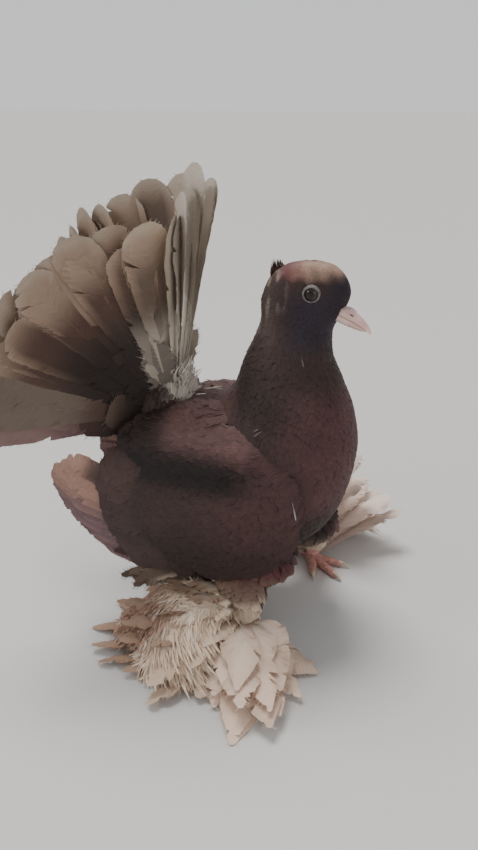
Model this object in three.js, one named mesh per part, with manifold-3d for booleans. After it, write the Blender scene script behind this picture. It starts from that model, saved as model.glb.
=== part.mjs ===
// A life-size fantail pigeon with muffed feet, standing with its tail raised, as a still model.
// Millimetres. +X is the way the bird faces, +Y its left side, +Z up, and the floor is at z = 0.
import * as THREE from "three";
import { mergeVertices } from "three/addons/utils/BufferGeometryUtils.js";
import Module from "manifold-3d";

const wasm = await Module();
wasm.setup();

// Driving dimensions
const GAP = 0.3; // kept between two nodes that touch
const SEED = 20611;
const BODY_SIDES = 22;
const BODY_STEPS = 2; // rings between two stations
const EYE = { x: 55, y: 14.2, z: 254.5, radius: 5.6, lid: 0.9, sides: 11 };
const BILL = { x: 71, z: 239.3, slope: -24, length: 23.5, root: -9, halfWidth: 4.9, height: 6.2, depth: 5.4 };
const NECK_FROM = 11.2; // stations where the body is parted
const NECK_TO = 13.7;
const TAIL = { x: -50, z: 152, length: 178 };
const TAIL_SIDES = {
  right: { side: -1, sweep: 45, over: 45, length: 154, lean: 0.15 },
  left: { side: 1, sweep: 24, over: 35, length: 171, lean: 0.12 },
};
const FEET = {
  right: {
    side: -1, x: 22, y: 50, turn: 12,
    muff: { from: -60, to: 96, reach: [62, 84, 98, 70, 74, 92, 98, 114, 112], rise: 0, plume: 0 },
  },
  left: {
    side: 1, x: 36, y: 84, turn: -38,
    muff: { from: -46, to: 84, reach: [84, 84, 80], rise: 33, plume: 60 },
  },
};

// Stations of the body from the rump round the belly and breast to the crown.
// Each is a slice through a low or front point and a high or back point, as [x, z], with half its width.
const STATIONS = [
  { front: [-86, 112], back: [-86, 119], half: 3 },
  { front: [-82, 98], back: [-80, 136], half: 17 },
  { front: [-69, 82], back: [-67, 154], half: 29 },
  { front: [-44, 68], back: [-47, 168], half: 41 },
  { front: [-14, 60], back: [-28, 175], half: 47.5 },
  { front: [16, 57], back: [-15, 177], half: 50.5 },
  { front: [42, 65], back: [-8, 180], half: 51.5 },
  { front: [62, 80], back: [-4, 184], half: 51.5 },
  { front: [75, 99], back: [-1, 188], half: 50 },
  { front: [83, 124], back: [2, 193], half: 46.5 },
  { front: [85.5, 150], back: [4, 199], half: 42 },
  { front: [81, 174], back: [6.5, 206], half: 36 },
  { front: [73, 194], back: [10, 214], half: 30 },
  { front: [66.5, 211], back: [14, 223], half: 24 },
  { front: [66, 228], back: [17.5, 235], half: 20 },
  { front: [72, 240], back: [17.5, 246], half: 18.5 },
  { front: [76.5, 252], back: [20, 255], half: 17.5 },
  { front: [74, 262], back: [25, 263.5], half: 14.5 },
  { front: [67, 269.5], back: [35, 270], half: 9.5 },
  { front: [57, 272.8], back: [47, 272.8], half: 3 },
];

const { abs, cos, max, min, sin, sqrt, PI } = Math;
const rad = THREE.MathUtils.degToRad;
const mix = THREE.MathUtils.lerp;
const smooth = THREE.MathUtils.smoothstep;
const point = (x, y, z) => new THREE.Vector3(x, y, z);

function seededRandom(seed) {
  let state = seed;
  return () => {
    state = (state + 0x6d2b79f5) | 0;
    let t = Math.imul(state ^ (state >>> 15), 1 | state);
    t = (t + Math.imul(t ^ (t >>> 7), 61 | t)) ^ t;
    return ((t ^ (t >>> 14)) >>> 0) / 4294967296;
  };
}

// A smooth curve through evenly numbered values, read at a place between them.
function through(values, at) {
  const last = values.length - 1;
  const i = min(max(Math.floor(at), 0), last - 1);
  const t = at - i;
  const [a, b, c, d] = [-1, 0, 1, 2].map((k) => values[min(max(i + k, 0), last)]);
  const [first, second, third] = [c - a, 2 * a - 5 * b + 4 * c - d, 3 * b - a - 3 * c + d];
  return b + 0.5 * (first * t + second * t * t + third * t ** 3);
}

// A closed surface over rings of points, each end closed round its middle.
// With alike set, the second half of each ring is split the same way as the first, as a thin vane needs.
function skin(rings, alike = false) {
  const sides = rings[0].length;
  const points = rings.flat();
  const faces = [];
  for (let i = 0; i + 1 < rings.length; i++) {
    for (let j = 0; j < sides; j++) {
      const a = i * sides + j;
      const b = i * sides + ((j + 1) % sides);
      const [c, d] = [a + sides, b + sides];
      if (alike && j >= sides / 2) faces.push([a, b, c], [b, d, c]);
      else faces.push([a, b, d], [a, d, c]);
    }
  }
  for (const end of [0, rings.length - 1]) {
    const middle = rings[end].reduce((sum, p) => sum.add(p), point(0, 0, 0)).divideScalar(sides);
    const hub = points.push(middle) - 1;
    for (let j = 0; j < sides; j++) {
      const pair = [end * sides + j, end * sides + ((j + 1) % sides)];
      faces.push(end === 0 ? [hub, pair[1], pair[0]] : [hub, pair[0], pair[1]]);
    }
  }
  return closed(points, faces);
}

// A geometry of these faces, turned to point outwards.
function closed(points, faces) {
  const volume = faces.reduce((sum, [a, b, c]) => {
    return sum + points[a].dot(points[b].clone().cross(points[c]));
  }, 0);
  const order = volume < 0 ? faces.map(([a, b, c]) => [a, c, b]) : faces;
  const geometry = new THREE.BufferGeometry();
  const places = points.flatMap((p) => p.toArray());
  geometry.setAttribute("position", new THREE.Float32BufferAttribute(places, 3));
  geometry.setIndex(order.flat());
  return geometry;
}

function solidOf(geometry) {
  const bare = geometry.clone();
  bare.deleteAttribute("normal");
  bare.deleteAttribute("uv");
  const merged = mergeVertices(bare, 1e-4);
  return new wasm.Manifold(
    new wasm.Mesh({
      numProp: 3,
      vertProperties: new Float32Array(merged.attributes.position.array),
      triVerts: new Uint32Array(merged.index.array),
    }),
  );
}

const fuse = (solids) => solids.reduce((whole, piece) => whole.add(piece));
const largest = (solid) => solid.decompose().reduce((a, b) => (b.volume() > a.volume() ? b : a));

function meshOf(name, solid, material) {
  const { vertProperties, triVerts } = largest(solid).getMesh();
  const geometry = new THREE.BufferGeometry();
  geometry.setAttribute("position", new THREE.BufferAttribute(vertProperties, 3));
  geometry.setIndex(new THREE.BufferAttribute(triVerts, 1));
  geometry.computeVertexNormals();
  const mesh = new THREE.Mesh(geometry, material);
  mesh.name = name;
  return mesh;
}

function box(low, high) {
  const geometry = new THREE.BoxGeometry(high[0] - low[0], high[1] - low[1], high[2] - low[2]);
  geometry.translate((low[0] + high[0]) / 2, (low[1] + high[1]) / 2, (low[2] + high[2]) / 2);
  return solidOf(geometry);
}

function ellipsoid(centre, radii, detail = 2) {
  const geometry = new THREE.IcosahedronGeometry(1, detail);
  geometry.scale(...radii);
  geometry.translate(...centre);
  return solidOf(geometry);
}

// Feathers

const random = seededRandom(SEED);
const vary = (spread) => (random() * 2 - 1) * spread;

// How wide a vane is along its length, as a share of its widest: a narrow root and a round tip.
const vaneShape = (s) => mix(0.12, 1, smooth(s, 0, 0.62)) * sqrt(1 - 0.82 * (max(s - 0.7, 0) / 0.3) ** 2);

// A feather as one closed blade. spot gives the place at a share of its length, so far across and out.
function vane(spot, { half, thick = 0.6, stops }) {
  const rings = stops.map((s) => {
    const wide = half * vaneShape(s);
    const deep = (thick / 2) * mix(1.5, 1, smooth(s, 0, 0.6));
    return [spot(s, -wide, deep), spot(s, wide, deep), spot(s, wide, -deep), spot(s, -wide, -deep)];
  });
  return solidOf(skin(rings, true));
}

const FLIGHT_STOPS = [0, 0.3, 0.72, 0.92, 1];
const COVERT_STOPS = [0, 0.45, 0.85, 1];
const CREST_STOPS = [0, 0.6, 1];

// A point at a share of the curve through three places, each given as [x, z].
function along([a, b, c], t) {
  const bent = (k) => 2 * b[k] - (a[k] + c[k]) / 2;
  return [0, 1].map((k) => (1 - t) ** 2 * a[k] + 2 * t * (1 - t) * bent(k) + t * t * c[k]);
}

// Materials
const finish = (color, roughness) => new THREE.MeshStandardMaterial({ color, roughness, metalness: 0 });
const PLUMAGE = finish(0x4a3834, 0.85);
const TAIL_PLUMAGE = finish(0x8a7466, 0.8);
const MUFF_PLUMAGE = finish(0xcba998, 0.85);
const HORN = finish(0xc8a2a0, 0.45);
const EYEBALL = finish(0x2a1c18, 0.1);

// Body

// One slice of the body as a ring of points, larger all round by grow.
function bodyRing(at, grow) {
  const read = (pick) => through(STATIONS.map(pick), at);
  const front = point(read((s) => s.front[0]), 0, read((s) => s.front[1]));
  const back = point(read((s) => s.back[0]), 0, read((s) => s.back[1]));
  const middle = front.clone().add(back).divideScalar(2);
  const reach = front.clone().sub(middle);
  reach.setLength(reach.length() + grow);
  const half = read((s) => s.half) + grow;
  return Array.from({ length: BODY_SIDES }, (_, j) => {
    const turn = (2 * PI * j) / BODY_SIDES;
    const ring = middle.clone().addScaledVector(reach, cos(turn));
    ring.y = half * sin(turn);
    return ring;
  });
}

// A length of the body between two places, with its rings at the same stations whatever its ends.
function bodyLength(from, to, grow = 0) {
  const places = [from];
  for (let at = Math.floor(from * BODY_STEPS) + 1; at < to * BODY_STEPS; at++) places.push(at / BODY_STEPS);
  places.push(to);
  return solidOf(skin(places.map((at) => bodyRing(at, grow))));
}

const CROWN = STATIONS.length - 1;
const grownBody = bodyLength(0, CROWN, GAP);
const seam = GAP / 2 / 24; // half the gap, counted in stations about 24 mm apart

function makeTorso() {
  return bodyLength(0, NECK_FROM - seam);
}

function makeNeck() {
  return bodyLength(NECK_FROM + seam, NECK_TO - seam);
}

function makeHead() {
  let head = bodyLength(NECK_TO + seam, CROWN);
  for (const side of [-1, 1]) {
    const lid = new THREE.TorusGeometry(EYE.radius, EYE.lid, 4, EYE.sides);
    lid.rotateX(PI / 2);
    lid.rotateZ(side * rad(-8));
    lid.translate(EYE.x, side * (EYE.y + 2.6), EYE.z);
    head = head.add(solidOf(lid));
    head = head.subtract(ball(side, EYE.radius + GAP));
  }
  return fuse([head, ...crest()]).subtract(upperJaw(GAP).add(lowerJaw(GAP)).hull());
}

// A short pointed tuft at the back of the head, its feathers side by side and curving up.
const CREST = {
  count: 6, spread: 9, half: 2.2, tilt: 0.3, drop: 7, bow: 2.5,
  root: [33, 255],
  tip: [24, 269.5],
};

function crest() {
  return Array.from({ length: CREST.count }, (_, i) => {
    const t = (2 * i) / (CREST.count - 1) - 1;
    const spot = (s, across, lift) => {
      const y = CREST.spread * t * (1 - 0.2 * s) + across;
      const back = lift + CREST.tilt * across + CREST.bow * 4 * s * (1 - s);
      const [x, z] = [0, 1].map((k) => mix(CREST.root[k], CREST.tip[k], s));
      return point(x - back, y, z - CREST.drop * t * t - back / 2);
    };
    return vane(spot, { half: CREST.half, thick: 0.5, stops: CREST_STOPS });
  });
}

function ball(side, radius) {
  return ellipsoid([EYE.x, side * EYE.y, EYE.z], [radius, radius, radius]);
}

// Bill

function billPoint(along, y, up) {
  const [run, rise] = [cos(rad(BILL.slope)), sin(rad(BILL.slope))];
  return point(BILL.x + along * run - up * rise, y, BILL.z + along * rise + up * run);
}

// One jaw: an arch over a flat floor, tapering and bending down to its tip.
function jaw(sign, length, height, grow = 0) {
  const steps = 6;
  const sides = 10;
  const rings = Array.from({ length: steps + 1 }, (_, i) => {
    const along = mix(BILL.root - grow, length + grow, i / steps);
    const t = max(along, 0) / (length + 0.6 + grow);
    const taper = (1 - t * t) ** 0.6;
    const droop = 2.6 * (max(along, 0) / BILL.length) ** 3;
    const half = BILL.halfWidth * (1 - 0.75 * t ** 1.3) + grow;
    return Array.from({ length: sides }, (_, j) => {
      const turn = (2 * PI * j) / sides;
      const arch = max(sin(turn), 0) * height * taper;
      return billPoint(along, half * cos(turn), sign * (GAP / 2 + arch + grow * sin(turn)) - droop);
    });
  });
  return solidOf(skin(rings));
}

const upperJaw = (grow) => jaw(1, BILL.length, BILL.height, grow);
const lowerJaw = (grow) => jaw(-1, BILL.length - 3.5, BILL.depth, grow);

// The upper jaw carries the soft cere, with a nostril slit under each half of it.
function makeUpperBill() {
  let bill = upperJaw();
  for (const side of [-1, 1]) {
    const cere = new THREE.IcosahedronGeometry(1, 1);
    cere.scale(4.2, 1.9, 1.7);
    cere.rotateY(rad(-BILL.slope + 12));
    cere.translate(...billPoint(5.2, side * 1.9, 5.2).toArray());
    const slit = new THREE.IcosahedronGeometry(1, 1);
    slit.scale(2.4, 1.2, 0.45);
    slit.rotateY(rad(-BILL.slope + 8));
    slit.translate(...billPoint(9.2, side * 3.6, 3.6).toArray());
    bill = bill.add(solidOf(cere)).subtract(solidOf(slit));
  }
  return bill;
}

// Wings

const WING_MIDDLE = { x: 10, z: 112, out: 66 };
// How far the side face falls in at so far ahead, behind, above and below that middle.
const FALL = {
  ahead: { by: 15, over: 52 },
  behind: { by: 17, over: 135 },
  above: { by: 33, over: 60 },
  below: { by: 8, over: 60 },
};

// How far the outer face of a folded wing stands from the middle of the bird.
function wingSide(x, z) {
  const [ahead, above] = [x - WING_MIDDLE.x, z - WING_MIDDLE.z];
  const falls = [
    [ahead, ahead > 0 ? FALL.ahead : FALL.behind],
    [above, above > 0 ? FALL.above : FALL.below],
  ];
  return falls.reduce((out, [away, fall]) => out - fall.by * (away / fall.over) ** 2, WING_MIDDLE.out);
}

// A point over or under that face, on the right or left side of the bird.
function onWing(side, x, z, lift) {
  const step = 0.5;
  const slopeX = (wingSide(x + step, z) - wingSide(x - step, z)) / (2 * step);
  const slopeZ = (wingSide(x, z + step) - wingSide(x, z - step)) / (2 * step);
  const normal = point(-slopeX, 1, -slopeZ).normalize();
  const spot = point(x, wingSide(x, z), z).addScaledVector(normal, lift);
  spot.y *= side;
  return spot;
}

// The flesh of the wing, an almond laid on its side face, seen as slices from the bend to the rear.
const WING_SLICES = [
  { x: 60, z: 124, half: 2, thick: 2, sink: 4 },
  { x: 56, z: 123, half: 15, thick: 9, sink: 2.5 },
  { x: 43, z: 121, half: 30, thick: 15, sink: 2.5 },
  { x: 22, z: 116, half: 43, thick: 17, sink: 4.5 },
  { x: -2, z: 109, half: 54, thick: 17, sink: 6.5 },
  { x: -25, z: 106, half: 54, thick: 14, sink: 9 },
  { x: -50, z: 105, half: 38, thick: 9, sink: 11 },
  { x: -68, z: 104, half: 18, thick: 4, sink: 12 },
];

function wingSlice(x) {
  const last = WING_SLICES.length - 1;
  let at = 0;
  while (at < last - 1 && WING_SLICES[at + 1].x > x) at++;
  const [a, b] = [WING_SLICES[at], WING_SLICES[at + 1]];
  const t = min(max((x - a.x) / (b.x - a.x), 0), 1);
  return Object.fromEntries(Object.keys(a).map((key) => [key, mix(a[key], b[key], t)]));
}

// A slab along the wing's side face, swollen by grow, with its outer face lifted as well.
function wingFlesh(side, grow = 0, lifted = 0) {
  const sides = 12;
  const rings = WING_SLICES.flatMap((slice, i) => {
    const next = WING_SLICES[i + 1];
    return next ? [slice.x, (slice.x + next.x) / 2] : [slice.x];
  }).map((x, i, all) => {
    const { z, half, thick, sink } = wingSlice(x);
    const end = i === 0 ? grow : i === all.length - 1 ? -grow : 0;
    return Array.from({ length: sides }, (_, j) => {
      const turn = (2 * PI * j) / sides;
      const lift = -sink - (thick / 2) * (1 - sin(turn)) + (grow + max(sin(turn), 0) * lifted) * sin(turn);
      return onWing(side, x + end, z + (half + grow) * cos(turn), lift);
    });
  });
  return solidOf(skin(rings, true));
}

// How deep under the side face the flesh of the wing lies.
function fleshLift(x, z) {
  const slice = wingSlice(x);
  const share = min(abs(z - slice.z) / slice.half, 1);
  return -slice.sink - (slice.thick / 2) * (1 - sqrt(1 - share * share));
}

// Tiers from the bend to the wing tip. Roots and tips lie on curves from the back down to the lower edge.
const WING_TIERS = [
  {
    count: 6, half: 10, tilt: 0.1, lift: 0.4,
    root: [[30, 152], [48, 124], [46, 98]],
    tip: [[-2, 157], [12, 121], [10, 80]],
  },
  {
    count: 6, half: 12, tilt: 0.12, lift: -3,
    root: [[4, 156], [17, 118], [20, 80]],
    tip: [[-38, 152], [-30, 112], [-18, 62]],
  },
  {
    count: 7, half: 13, tilt: 0.15, lift: -7,
    root: [[-18, 150], [-18, 112], [-6, 72]],
    tip: [[-74, 140], [-90, 106], [-68, 60]],
  },
  {
    count: 7, half: 11, tilt: 0.2, lift: -11.5,
    root: [[-20, 112], [-24, 88], [-12, 66]],
    tip: [[-122, 126], [-138, 98], [-98, 62]],
  },
];
const SCAPULARS = {
  count: 4, half: 11, tilt: 0.24, lift: 4.6,
  root: [[22, 160], [30, 148], [28, 134]],
  tip: [[-38, 160], [-56, 145], [-40, 126]],
};
const FLIGHT_TIERS = 2; // the first tiers are coverts, and the rest are flight feathers

function wingTier(side, tier, flight) {
  return Array.from({ length: tier.count }, (_, i) => {
    const t = i / (tier.count - 1);
    const root = along(tier.root, t);
    const tip = along(tier.tip, t);
    const length = Math.hypot(tip[0] - root[0], tip[1] - root[1]);
    const way = [(tip[0] - root[0]) / length, (tip[1] - root[1]) / length];
    const down = [-way[1], way[0]];
    const sag = flight ? length * mix(0.03, 0.12, t) : length * 0.04;
    const reach = length + vary(length * 0.03);
    const deep = fleshLift(...root) - 2;
    const spot = (s, across, out) => {
      const bend = across + sag * 4 * s * (1 - s);
      const rise = mix(deep, tier.lift, smooth(s, 0, 0.4)) + tier.tilt * across;
      const [x, z] = [0, 1].map((k) => root[k] + way[k] * reach * s + down[k] * bend);
      return onWing(side, x, z, rise + out);
    };
    return vane(spot, { half: tier.half, stops: flight ? FLIGHT_STOPS : COVERT_STOPS });
  });
}

function makeWing(side) {
  const tiers = WING_TIERS.map((tier, i) => wingTier(side, tier, i >= FLIGHT_TIERS));
  return fuse([wingFlesh(side), ...tiers.flat(), ...wingTier(side, SCAPULARS, false)]).subtract(grownBody);
}

// Tail

// The way a tail feather points, by its angle from the middle: fanned sideways, then swept back.
function tailWay(half, angle) {
  const swept = rad(mix(90, half.sweep, smooth(angle, 0, half.over)));
  const turn = rad(angle);
  const across = point(-cos(swept), half.side * sin(swept), 0);
  const up = point(half.lean, 0, 1).normalize();
  return up.multiplyScalar(cos(turn)).addScaledVector(across, sin(turn)).normalize();
}

// Across one feather, and out of its upper face.
function tailFrame(half, angle) {
  const way = tailWay(half, angle);
  const across = tailWay(half, angle + 2).sub(tailWay(half, angle - 2));
  across.addScaledVector(way, -across.dot(way)).normalize();
  const out = way.clone().cross(across).multiplyScalar(-half.side).normalize();
  return { way, across, out };
}

const tailLength = (half, angle) => mix(TAIL.length, half.length, smooth(angle, 0, 14));

// Tiers of the tail: its long feathers, and the shorter ones over and under their roots.
const TAIL_TIERS = [
  { count: 11, from: 4, step: 7.9, half: 15, share: 1, start: 16, lift: 0, tilt: 0.22 },
  { count: 5, from: 7, step: 17, half: 13, share: 0.39, start: 18, lift: 5.5, tilt: 0.1 },
  { count: 5, from: 12, step: 16, half: 13, share: 0.42, start: 18, lift: -5.5, tilt: 0.1 },
];

function tailTier(half, tier) {
  const apex = point(TAIL.x, 0, TAIL.z);
  return Array.from({ length: tier.count }, (_, i) => {
    const angle = tier.from + tier.step * i + vary(0.8);
    const { way, across, out } = tailFrame(half, angle);
    const reach = tailLength(half, angle) * tier.share * (1 + vary(0.035));
    const curl = vary(3) - 3;
    const spot = (s, v, lift) => {
      const height = lift + tier.lift * smooth(s, 0, 0.3) + tier.tilt * v + curl * s * s;
      const spot = apex.clone().addScaledVector(way, mix(tier.start, reach, s));
      return spot.addScaledVector(across, v).addScaledVector(out, height);
    };
    const stops = tier.share === 1 ? FLIGHT_STOPS : COVERT_STOPS;
    return vane(spot, { half: tier.half, thick: 0.7, stops });
  });
}

function makeTail(half) {
  const root = ellipsoid([TAIL.x, 0, TAIL.z + 4], [22, 28, 29]);
  const feathers = TAIL_TIERS.flatMap((tier) => tailTier(half, tier));
  return fuse([root, ...feathers]).subtract(grownBody).subtract(beyond(-half.side));
}

// Everything on one side of the middle, past half the gap.
function beyond(side) {
  const [from, to] = side > 0 ? [-GAP / 2, 400] : [-400, GAP / 2];
  return box([-400, from, -10], [300, to, 400]);
}

// Legs and feet

// A round limb through places given as { at: [x, y, z], radius }.
function limb(places, sides = 12, steps = 3) {
  const last = places.length - 1;
  const centreAt = (at) => point(...[0, 1, 2].map((k) => through(places.map((p) => p.at[k]), at)));
  const rings = Array.from({ length: last * steps + 1 }, (_, i) => {
    const at = i / steps;
    const centre = centreAt(at);
    const way = centreAt(at + 0.05).sub(centreAt(at - 0.05)).normalize();
    const level = way.clone().cross(point(0, 0, 1));
    const side = level.lengthSq() < 0.02 ? point(0, 1, 0) : level;
    const u = side.addScaledVector(way, -side.dot(way)).normalize();
    const v = way.clone().cross(u);
    const radius = through(places.map((p) => p.radius), at);
    return Array.from({ length: sides }, (_, j) => {
      const turn = (2 * PI * j) / sides;
      return centre.clone().addScaledVector(u, radius * cos(turn)).addScaledVector(v, radius * sin(turn));
    });
  });
  return solidOf(skin(rings));
}

const ANKLE = 32;

// The feathered leg from the belly down to the foot, swollen by grow.
function shin({ side, x, y }, grow = 0) {
  return limb([
    { at: [x - 8, side * 24, 92], radius: 16 + grow },
    { at: [x - 8, side * 29, 74], radius: 21 + grow },
    { at: [x - 6, side * mix(30, y, 0.4), 57], radius: 18 + grow },
    { at: [x - 2, side * mix(30, y, 0.8), 42], radius: 12 + grow },
    { at: [x, side * y, ANKLE - 6], radius: 9 + grow },
  ], 12, 2);
}

function makeLeg(foot) {
  const { side, x } = foot;
  const below = box([-200, -200, -50], [200, 200, ANKLE + GAP / 2]);
  const flank = ellipsoid([x, side * 33, 70], [29, 19, 22], 1);
  return shin(foot).add(flank).subtract(grownBody).subtract(wingFlesh(side, GAP, 6)).subtract(below);
}

const TOES = [
  { turn: 0, length: 33 },
  { turn: 36, length: 26 },
  { turn: -34, length: 26 },
  { turn: 178, length: 17 },
];

function makeFoot(foot) {
  const { side, x, y, turn } = foot;
  const shank = limb([
    { at: [x, side * y, ANKLE + 4], radius: 9 },
    { at: [x, side * y, 14], radius: 7.5 },
    { at: [x + 1, side * y, 2], radius: 7.5 },
  ], 12, 1);
  let whole = shank;
  for (const toe of TOES) {
    const way = rad(turn + toe.turn);
    const spot = (along, z) => [x + along * cos(way), side * y + along * sin(way), z];
    whole = whole.add(limb([
      { at: spot(0, 6), radius: 5 },
      { at: spot(toe.length * 0.4, 4.4), radius: 4.2 },
      { at: spot(toe.length * 0.7, 3.6), radius: 3.8 },
      { at: spot(toe.length, 3.2), radius: 2.8 },
    ], 8, 1));
    whole = whole.add(limb([
      { at: spot(toe.length - 3, 3.6), radius: 1.8 },
      { at: spot(toe.length + 3, 3.4), radius: 1.4 },
      { at: spot(toe.length + 7.5, 0.9), radius: 0.4 },
    ], 6, 1));
  }
  whole = fuse([whole, ...muff(foot)]);
  const floor = box([-300, -300, -60], [300, 300, 0]);
  const above = box([-300, -300, ANKLE - GAP / 2], [300, 300, 90]);
  return whole.subtract(floor).subtract(shank.intersect(above)).subtract(shin(foot, GAP).intersect(above));
}

// The muff: three tiers of loose feathers on the outer side of the foot, angles counted from straight out.
// The longest lie on the floor, and the upper ones lift towards the back.
const MUFF_TIERS = [
  { count: 9, half: 12.5, share: 1, root: 6, tip: 1.5, lifted: 0, hump: 5 },
  { count: 7, half: 12.5, share: 0.8, root: 15, tip: 10, lifted: 14, hump: 10 },
  { count: 5, half: 12, share: 0.6, root: 26, tip: 24, lifted: 18, hump: 14 },
];
const MUFF_TILT = 0.16;

function muff({ side, x, y, muff: { from, to, reach, rise, plume } }) {
  return MUFF_TIERS.flatMap((tier) => {
    return Array.from({ length: tier.count }, (_, i) => {
      const t = i / (tier.count - 1);
      const angle = rad(mix(from, to, t) + vary(3));
      const far = through(reach, (reach.length - 1) * t) * tier.share * (1 + vary(0.07));
      const raised = rise * (1 - smooth(t, 0, 0.55)) + plume * smooth(0.3 - t, 0, 0.3) * (1 - tier.share);
      const high = tier.tip + tier.lifted * t + raised;
      const tilt = MUFF_TILT + vary(0.03);
      const bend = vary(4);
      const spot = (s, v, lift) => {
        const r = mix(6, far, s);
        const w = v + bend * s * s;
        const z = mix(tier.root, high, s) + tier.hump * 3.2 * s * (1 - s) + lift + tilt * v;
        return point(x - r * sin(angle) + w * cos(angle), side * (y + r * cos(angle) + w * sin(angle)), z);
      };
      return vane(spot, { half: tier.half, thick: 0.7, stops: COVERT_STOPS });
    });
  });
}

// Assembly

const bird = new THREE.Group();
bird.add(
  meshOf("torso", makeTorso(), PLUMAGE),
  meshOf("neck", makeNeck(), PLUMAGE),
  meshOf("head", makeHead(), PLUMAGE),
  meshOf("bill_upper", makeUpperBill(), HORN),
  meshOf("bill_lower", lowerJaw(), HORN),
  meshOf("eye_right", ball(-1, EYE.radius), EYEBALL),
  meshOf("eye_left", ball(1, EYE.radius), EYEBALL),
  meshOf("wing_right", makeWing(-1), PLUMAGE),
  meshOf("wing_left", makeWing(1), PLUMAGE),
  meshOf("tail_right", makeTail(TAIL_SIDES.right), TAIL_PLUMAGE),
  meshOf("tail_left", makeTail(TAIL_SIDES.left), TAIL_PLUMAGE),
  meshOf("leg_right", makeLeg(FEET.right), PLUMAGE),
  meshOf("leg_left", makeLeg(FEET.left), PLUMAGE),
  meshOf("foot_right", makeFoot(FEET.right), MUFF_PLUMAGE),
  meshOf("foot_left", makeFoot(FEET.left), MUFF_PLUMAGE),
);

const group = new THREE.Group();
group.add(bird);
const bounds = new THREE.Box3().setFromObject(group);
bird.position.set(-(bounds.min.x + bounds.max.x) / 2, -(bounds.min.y + bounds.max.y) / 2, -bounds.min.z);

export default group;
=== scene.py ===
"""The looks of the fantail pigeon: one skin, and a coat of solid feathers built over it.

Shapes are worked out in millimetres in the bird's own frame, as in the part's source, and
moved into the row frame in metres. +X is the way the bird faces, +Y its left side, +Z up.
"""

import math

import bpy
import numpy as np
from mathutils import Euler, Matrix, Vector


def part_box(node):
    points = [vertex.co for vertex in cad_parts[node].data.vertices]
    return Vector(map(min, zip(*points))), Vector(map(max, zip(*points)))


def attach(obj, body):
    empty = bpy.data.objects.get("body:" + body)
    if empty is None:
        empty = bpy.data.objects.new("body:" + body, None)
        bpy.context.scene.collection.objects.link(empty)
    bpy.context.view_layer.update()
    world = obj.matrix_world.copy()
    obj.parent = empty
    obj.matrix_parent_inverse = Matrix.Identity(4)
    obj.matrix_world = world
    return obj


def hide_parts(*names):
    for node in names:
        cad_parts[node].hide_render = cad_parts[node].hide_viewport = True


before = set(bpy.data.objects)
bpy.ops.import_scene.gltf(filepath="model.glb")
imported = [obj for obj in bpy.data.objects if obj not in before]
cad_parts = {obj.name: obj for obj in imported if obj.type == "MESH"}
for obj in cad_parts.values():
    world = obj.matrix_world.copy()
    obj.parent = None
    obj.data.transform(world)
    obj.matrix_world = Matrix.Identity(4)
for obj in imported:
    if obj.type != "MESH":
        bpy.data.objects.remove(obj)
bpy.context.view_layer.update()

# Driving dimensions, in millimetres and degrees
MM = 0.001
SEED = 20611
EYE = {"x": 55, "y": 14.2, "z": 254.5, "radius": 5.6}
BILL = {
    "x": 71, "z": 239.3, "slope": -24, "length": 23.5, "root": -9, "half": 4.9, "height": 6.2, "depth": 5.4,
}
TAIL = {"x": -50, "z": 152, "length": 178}
TAIL_SIDES = {
    "right": {"side": -1, "sweep": 45, "over": 45, "length": 154, "lean": 0.15},
    "left": {"side": 1, "sweep": 24, "over": 35, "length": 171, "lean": 0.12},
}
FEET = {
    "right": {
        "side": -1, "near": 1, "x": 22, "y": 50, "turn": 12, "from": -60, "to": 96, "rise": 0, "plume": 0,
        "reach": (62, 84, 98, 70, 74, 92, 98, 114, 112), "down": 4200, "down_from": 0.48, "dome": 12,
    },
    "left": {
        "side": 1, "near": 0, "x": 36, "y": 84, "turn": -38, "from": -46, "to": 84, "rise": 33, "plume": 60,
        "reach": (84, 84, 80), "down": 3600, "down_from": 0.12, "dome": 6,
    },
}
BOTH_SIDES = {"right": -1, "left": 1}
ANKLE = 32
COAT_DEPTH = 2.5  # the skin lies so far inside the feathers

# Stations of the body from the rump round the belly and breast to the crown.
# Each is a slice: its low or front point, its high or back point, as x and z, and half its width.
STATIONS = np.array([
    (-86, 112, -86, 119, 3),
    (-82, 98, -80, 136, 17),
    (-69, 82, -67, 154, 29),
    (-44, 68, -47, 168, 41),
    (-14, 60, -28, 175, 47.5),
    (16, 57, -15, 177, 50.5),
    (42, 65, -8, 180, 51.5),
    (62, 80, -4, 184, 51.5),
    (75, 99, -1, 188, 50),
    (83, 124, 2, 193, 46.5),
    (85.5, 150, 4, 199, 42),
    (81, 174, 6.5, 206, 36),
    (73, 194, 10, 214, 30),
    (66.5, 211, 14, 223, 24),
    (66, 228, 17.5, 235, 20),
    (72, 240, 17.5, 246, 18.5),
    (76.5, 252, 20, 255, 17.5),
    (74, 262, 25, 263.5, 14.5),
    (67, 269.5, 35, 270, 9.5),
    (57, 272.8, 47, 272.8, 3),
], dtype=float)
CROWN = len(STATIONS) - 1
HEAD_FROM = 14.2  # the station where the short feathers of the head begin
HEAD_TO = 18.7

# Places seen from the side, each as the middle of an ellipse in x and z and its half sizes.
UNDER_WING = (6, 112, 46, 36)
SHIELD = (8, 112, 55, 48)
MANTLE_LOBE = (-6, 153, 54, 16)


# Numbers and vectors

def dice(stream):
    """A seeded source of random numbers for one group of feathers."""
    return np.random.default_rng([SEED, stream])


def mix(a, b, t):
    return a + (b - a) * t


def smooth(value, low, high):
    t = np.clip((np.asarray(value, dtype=float) - low) / (high - low), 0, 1)
    return t * t * (3 - 2 * t)


def vector(*parts):
    """Numbers or arrays side by side, as the last axis of one array."""
    return np.stack(np.broadcast_arrays(*parts), axis=-1)


def unit(v):
    return v / np.maximum(np.linalg.norm(v, axis=-1, keepdims=True), 1e-9)


def dot(a, b):
    return (a * b).sum(axis=-1, keepdims=True)


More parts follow.
